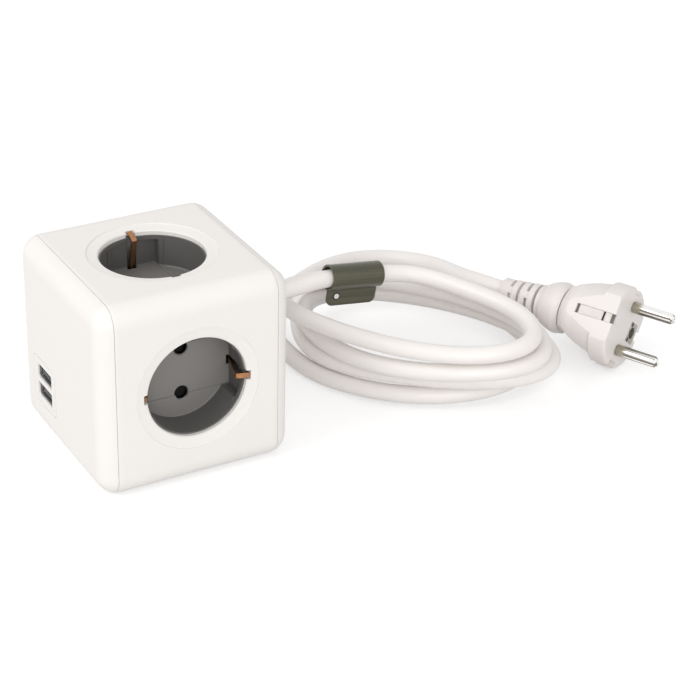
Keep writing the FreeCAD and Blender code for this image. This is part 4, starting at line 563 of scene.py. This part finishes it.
# %% [markdown]
# ## Bent strips
#
# The earth clips in the sockets and the earth strips on the plug are stamped from sheet and bent. A
# solid shows a bend as a few flats, so each strip is drawn again from its side view: corners are
# softened into short arcs, the line is thickened to both sides and drawn out to the strip's width.


# %% Helpers for bent strips
def softened(corners, reach, steps=5):
    """Side view with its corners turned into arcs that start at most `reach` before them."""
    longest_share = 0.45
    points = [Vector(corners[0])]
    for before, corner, after in zip(corners, corners[1:], corners[2:]):
        before, corner, after = Vector(before), Vector(corner), Vector(after)
        near = min(reach, (before - corner).length * longest_share, (after - corner).length * longest_share)
        start = corner + (before - corner).normalized() * near
        end = corner + (after - corner).normalized() * near
        for step in range(steps + 1):
            share = step / steps
            points.append(start * (1 - share) ** 2 + corner * 2 * share * (1 - share) + end * share ** 2)
    return points + [Vector(corners[-1])]


def add_strip(shape, line, thickness, width, place, finish_of=None):
    """Adds a strip to a bmesh: `line` runs in the local X and Z of the matrix `place`."""
    rows = []
    for index, point in enumerate(line):
        heading = (line[min(index + 1, len(line) - 1)] - line[max(index - 1, 0)]).normalized()
        aside = Vector((-heading.y, heading.x)) * thickness / 2
        corners = ((point + aside, -width / 2), (point + aside, width / 2),
                   (point - aside, width / 2), (point - aside, -width / 2))
        rows.append([shape.verts.new(place @ (Vector((edge.x, half, edge.y)) * MM))
                     for edge, half in corners])
    for index, (row, following) in enumerate(zip(rows, rows[1:])):
        for side in range(4):
            after = (side + 1) % 4
            face = shape.faces.new((row[side], row[after], following[after], following[side]))
            face.material_index = finish_of(line[index], line[index + 1]) if finish_of else 0
    shape.faces.new(rows[0][::-1])
    shape.faces.new(rows[-1])


def frame_at(origin_mm, x_axis, y_axis, z_axis):
    """Matrix of a local frame whose origin is given in mm."""
    turn = Matrix((x_axis, y_axis, z_axis)).transposed().to_4x4()
    return Matrix.Translation(Vector(origin_mm) * MM) @ turn


print("strip helpers ready")

# %% [markdown]
# ## Spun pieces and finished objects
#
# A dimple and the head of an eyelet are round, so they are spun from a profile. Whatever was drawn then
# becomes an object in one way: smooth shading, and a small bevel where sheet metal needs its sharpness
# taken off. The bevel keeps the flat faces flat with hardened normals.


# %% Helpers for spun pieces and objects
def add_spun(shape, profile, place, steps=32, finish_index=0):
    """Adds a solid of revolution to a bmesh: `profile` gives radius and height along the local X."""
    rings = []
    for radius, height in profile:
        angles = [2 * math.pi * step / steps for step in range(steps)]
        rings.append([shape.verts.new(place @ (Vector(
            (height, radius * math.cos(angle), radius * math.sin(angle))) * MM)) for angle in angles])
    faces = []
    for ring, following in zip(rings, rings[1:]):
        for step in range(steps):
            after = (step + 1) % steps
            faces.append(shape.faces.new((ring[step], ring[after], following[after], following[step])))
    faces += [shape.faces.new(rings[0][::-1]), shape.faces.new(rings[-1])]
    for face in faces:
        face.material_index = finish_index


def finish_piece(name, shape, materials, bevel_mm=0.0):
    """Turns a bmesh into an object with its materials and a small bevel."""
    bmesh.ops.recalc_face_normals(shape, faces=shape.faces)
    mesh = bpy.data.meshes.new(name)
    shape.to_mesh(mesh)
    shape.free()
    for material in materials:
        mesh.materials.append(material)
    mesh.shade_smooth()
    piece = bpy.data.objects.new(name, mesh)
    bpy.context.scene.collection.objects.link(piece)
    if bevel_mm:
        bevel = piece.modifiers.new("soft_edges", "BEVEL")
        bevel.width = bevel_mm * MM
        bevel.segments = 2
        bevel.limit_method = "ANGLE"
        bevel.harden_normals = True
    return piece


print("object helpers ready")

# %% [markdown]
# ## Earth clips
#
# A strip of copper runs behind each cup and comes up on both sides of the socket as two sprung arms. In
# the photograph the arm far from the camera leans well into the socket and the near one stays in its
# notch, so the two arms of a clip get their own reach. The strip is drawn once, from the far arm's tip
# down, across and up again, and placed in each socket by a frame that looks out of it.

# %% Bend the earth clips
CLIP_THICKNESS, CLIP_WIDTH, CLIP_CORNER, CLIP_BEVEL = 0.8, 2.1, 1.2, 0.18
NEAR_TIP_OUT, NEAR_BEND_OUT, NEAR_BEND_DROP = -21.0, -19.5, 1.9
clip_corners = [(21.2, -1.1), (16.3, -2.4), (19.85, -15.6), (19.9, -21.1), (-19.9, -21.1), (-19.9, -15.6)]
near_tip_depths = {"front": 1.1, "top": 2.6, "back": 2.0, "bottom": 1.6}
socket_frames = {
    "front": frame_at((0, -CUBE_HALF, CUBE_HALF), (1, 0, 0), (0, 0, 1), (0, -1, 0)),
    "top": frame_at((0, 0, 2 * CUBE_HALF), (0, 1, 0), (-1, 0, 0), (0, 0, 1)),
    "back": frame_at((0, CUBE_HALF, CUBE_HALF), (-1, 0, 0), (0, 0, 1), (0, 1, 0)),
    "bottom": frame_at((0, 0, 0), (0, 1, 0), (1, 0, 0), (0, 0, -1)),
}
for side, place in socket_frames.items():
    near_tip = near_tip_depths[side]
    near_arm = [(NEAR_BEND_OUT, -near_tip - NEAR_BEND_DROP), (NEAR_TIP_OUT, -near_tip)]
    clip_line = softened(clip_corners + near_arm, CLIP_CORNER)
    clip_shape = bmesh.new()
    add_strip(clip_shape, clip_line, CLIP_THICKNESS, CLIP_WIDTH, place)
    clip = finish_piece(side + "_earth_spring", clip_shape, [finish["clip_copper"]], CLIP_BEVEL)
    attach(clip, "housing")
    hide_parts(side + "_earth_clip")
print("clips bent:", len(socket_frames), "points along each:", len(clip_line))

# %% [markdown]
# ## Backs of the clip slots
#
# Behind each arm the slot in the cup wall has a back of the same grey plastic. It keeps the hollow of
# the cube out of sight.

# %% Close the backs of the clip slots
SEAT_OUT, SEAT_THICKNESS, SEAT_WIDTH = 20.8, 0.3, 3.7
SEAT_TOP, SEAT_FOOT = -2.8, -15.2
seat_shape = bmesh.new()
for place in socket_frames.values():
    for out in (SEAT_OUT, -SEAT_OUT):
        seat_line = [Vector((out, SEAT_TOP)), Vector((out, SEAT_FOOT))]
        add_strip(seat_shape, seat_line, SEAT_THICKNESS, SEAT_WIDTH, place)
clip_seats = finish_piece("clip_seats", seat_shape, [finish["cup_grey"]])
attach(clip_seats, "housing")
print("faces of the clip seats:", len(clip_seats.data.polygons))

# %% [markdown]
# ## Earth strips of the plug
#
# Each flat of the plug has a slot with a tinned strip that fills it from side to side. Where the strip
# is pressed down to the floor of the slot, at its two ends and once between them, the fold lies in
# shade, and the folds carry a dark finish of their own as painted shade. The plug lies rolled over, and
# its three directions place everything that is added to it.

# %% Bend the plug strips
PLUG_ROLL = math.radians(51.5)
plug_level = Vector((0.0, 0.0, 1.0)).cross(plug_axis)
plug_up = plug_axis.cross(plug_level)
pin_line = plug_level * math.cos(PLUG_ROLL) + plug_up * math.sin(PLUG_ROLL)
plug_normal = plug_axis.cross(pin_line)
STRIP_LOW, STRIP_HIGH, FOLD_MARGIN = 12.75, 13.9, 0.15
STRIP_THICKNESS, STRIP_WIDTH, STRIP_CORNER, STRIP_BEVEL = 0.8, 3.9, 0.3, 0.12
strip_corners = [(-17.4, STRIP_LOW), (-16.5, STRIP_LOW), (-16.2, STRIP_HIGH), (-5.7, STRIP_HIGH),
                 (-5.4, STRIP_LOW), (-4.6, STRIP_LOW), (-4.3, STRIP_HIGH), (-1.8, STRIP_HIGH),
                 (-0.9, STRIP_LOW), (-0.4, STRIP_LOW)]
strip_line = softened(strip_corners, STRIP_CORNER, 3)


# Faces in a fold take the second finish, the painted shade
def fold_shade_index(start, end):
    return 1 if (start.y + end.y) / 2 < STRIP_HIGH - FOLD_MARGIN else 0


strip_shape = bmesh.new()
for turn_over in (1, -1):
    place = frame_at(plug_face, plug_axis, pin_line * turn_over, plug_normal * turn_over)
    add_strip(strip_shape, strip_line, STRIP_THICKNESS, STRIP_WIDTH, place, fold_shade_index)
plug_strips = finish_piece("plug_side_strips", strip_shape, [finish["strip_metal"], finish["fold_painted_shade"]],
                           STRIP_BEVEL)
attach(plug_strips, "housing")
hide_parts("plug_earth_strips")
print("plug strips:", len(plug_strips.data.polygons), "faces")

# %% [markdown]
# ## Face of the plug
#
# The contact plate between the pins is held by two small dark studs. Next to the white face the pins
# carry a painted reflection of it, dull and yellowish, which fades out after a few millimetres.

# %% Add the studs and paint a reflection on the roots of the pins
STUD_ASIDE, STUD_DOWN = 3.3, 6.1
ROOT_REFLECTION_FULL, ROOT_REFLECTION_END = 3.2, 5.0
stud_profile = [(1.0, -0.3), (1.0, 0.05), (0.7, 0.17), (0.2, 0.22)]
dimple_shape = bmesh.new()
for aside in (STUD_ASIDE, -STUD_ASIDE):
    stud_place = plug_face + pin_line * aside - plug_normal * STUD_DOWN
    place = frame_at(stud_place, plug_axis, pin_line, plug_normal)
    add_spun(dimple_shape, stud_profile, place, 20)
plate_dimples = finish_piece("plate_dimples", dimple_shape, [finish["rim_dark"]])
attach(plate_dimples, "housing")
frame["nodes"]["plug_earth_socket"].data.materials.clear()
frame["nodes"]["plug_earth_socket"].data.materials.append(finish["plate_metal"])
pin_start = plug_face.dot(plug_axis) * MM
# Painted reflection of the plug's face on the roots of the pins
tint_where(finish["pin_nickel"], along_tree,
           {"Direction": plug_axis, "From": pin_start + ROOT_REFLECTION_END * MM, "To": pin_start + ROOT_REFLECTION_FULL * MM},
           (0.38, 0.36, 0.285))
print("faces of the studs:", len(plate_dimples.data.polygons))

# %% [markdown]
# ## Eyelet of the tag
#
# A white rivet closes the flag of the tag. Its head is a low dome that sits in a dark pressed rim. Both
# are spun from a short profile about the hole's own line, once for each face of the flag.

# %% Spin the eyelet
FLAG_HALF = 0.6
dome_profile = [(1.15, -0.2), (1.15, 0.22), (1.0, 0.36), (0.6, 0.42), (0.2, 0.44)]
rim_profile = [(1.2, -0.1), (1.75, -0.1), (1.75, 0.1), (1.5, 0.2), (1.2, 0.12)]
tag_along = (Vector(lead_points[3]) - Vector(lead_points[2])).normalized()
tag_aside = Vector((0.0, 0.0, 1.0)).cross(tag_along).normalized()
tag_up = tag_along.cross(tag_aside)
rivet_low, rivet_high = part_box("tag_rivet")
rivet_middle = (Vector(rivet_low) + Vector(rivet_high)) / 2 / MM
eyelet_shape = bmesh.new()
for finish_index, profile in enumerate((dome_profile, rim_profile)):
    raised = [(radius, FLAG_HALF + height) for radius, height in profile]
    for outwards in (-1, 1):
        place = frame_at(rivet_middle, tag_aside * outwards, tag_along * outwards, tag_up)
        add_spun(eyelet_shape, raised, place, finish_index=finish_index)
tag_eyelet = finish_piece("tag_eyelet", eyelet_shape, [finish["rivet_white"], finish["rim_dark"]])
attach(tag_eyelet, "housing")
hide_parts("tag_rivet")
print("eyelet at:", [round(value, 1) for value in rivet_middle])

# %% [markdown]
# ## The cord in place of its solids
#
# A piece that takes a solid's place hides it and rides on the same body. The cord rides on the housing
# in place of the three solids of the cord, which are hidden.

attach(flex_cord, "housing")
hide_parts("cord_lead", "cord_coil", "cord_tail")
print("cord declared:", flex_cord.name)

# %% [markdown]
# ## Floor
#
# Product photographs of white goods use a white sweep of paper. It glows white for the camera and for
# glossy reflections only, so the paper stays white while the object is lit plainly, and it still takes
# the object's shadow.


# %% Build the floor
def seen_or_mirrored(tree):
    """1 for rays from the camera and for glossy reflections, 0 for all other light."""
    rays = add_node(tree, "LightPath").outputs
    return calculate(tree, "MAXIMUM", rays["Is Camera Ray"], rays["Is Glossy Ray"])


FLOOR_RADIUS, FLOOR_DROP, PAPER_GLOW = 4.0, 0.0002, 0.45
floor_mesh = bpy.data.meshes.new("studio_floor")
floor_shape = bmesh.new()
bmesh.ops.create_circle(floor_shape, cap_ends=True, radius=FLOOR_RADIUS, segments=96)
floor_shape.to_mesh(floor_mesh)
floor_shape.free()
floor = bpy.data.objects.new("studio_floor", floor_mesh)
floor.location.z = -FLOOR_DROP
bpy.context.scene.collection.objects.link(floor)
paper, paper_tree, paper_shader = start_material("white_paper")
paper_shader.inputs["Base Color"].default_value = (0.70, 0.70, 0.70, 1.0)
paper_shader.inputs["Roughness"].default_value = 0.9
paper_shader.inputs["Specular IOR Level"].default_value = 0.1
paper_shader.inputs["Emission Color"].default_value = (1.0, 1.0, 1.0, 1.0)
glow = calculate(paper_tree, "MULTIPLY", seen_or_mirrored(paper_tree), PAPER_GLOW)
connect(paper_tree, paper_shader, {"Emission Strength": glow})
floor_mesh.materials.append(paper)
print("floor across:", 2 * FLOOR_RADIUS)

# %% [markdown]
# ## Light
#
# The light is very soft. A white surround gives most of it, a little weaker for the object than for the
# camera, and two large softboxes shape it: the key from the left and behind, the fill from the front.

# %% Light the set
SURROUND_LEVEL = 0.70
world = bpy.data.worlds.new("studio_world")
bpy.context.scene.world = world
world.use_nodes = True
world_tree = world.node_tree
world_tree.nodes.clear()
world_level = remap(world_tree, seen_or_mirrored(world_tree), 0.0, 1.0, SURROUND_LEVEL, 1.0)
world_glow = add_node(world_tree, "Background", {"Color": (1.0, 1.0, 1.0, 1.0), "Strength": world_level})
add_node(world_tree, "OutputWorld", {"Surface": world_glow.outputs["Background"]})


def softbox(name, place, target, width, power):
    data = bpy.data.lights.new(name, "AREA")
    data.shape = "SQUARE"
    data.size = width
    data.energy = power
    lamp = bpy.data.objects.new(name, data)
    lamp.location = place
    lamp.rotation_euler = (Vector(target) - Vector(place)).to_track_quat("-Z", "Y").to_euler()
    bpy.context.scene.collection.objects.link(lamp)


softbox("key_softbox", place=(-1.4, 0.1, 1.2), target=(0.05, 0.0, 0.0), width=1.2, power=11.5)
softbox("fill_softbox", place=(-0.5, -1.9, 0.7), target=(0.05, 0.0, 0.03), width=1.4, power=16.0)
bpy.context.scene.view_settings.view_transform = "Standard"
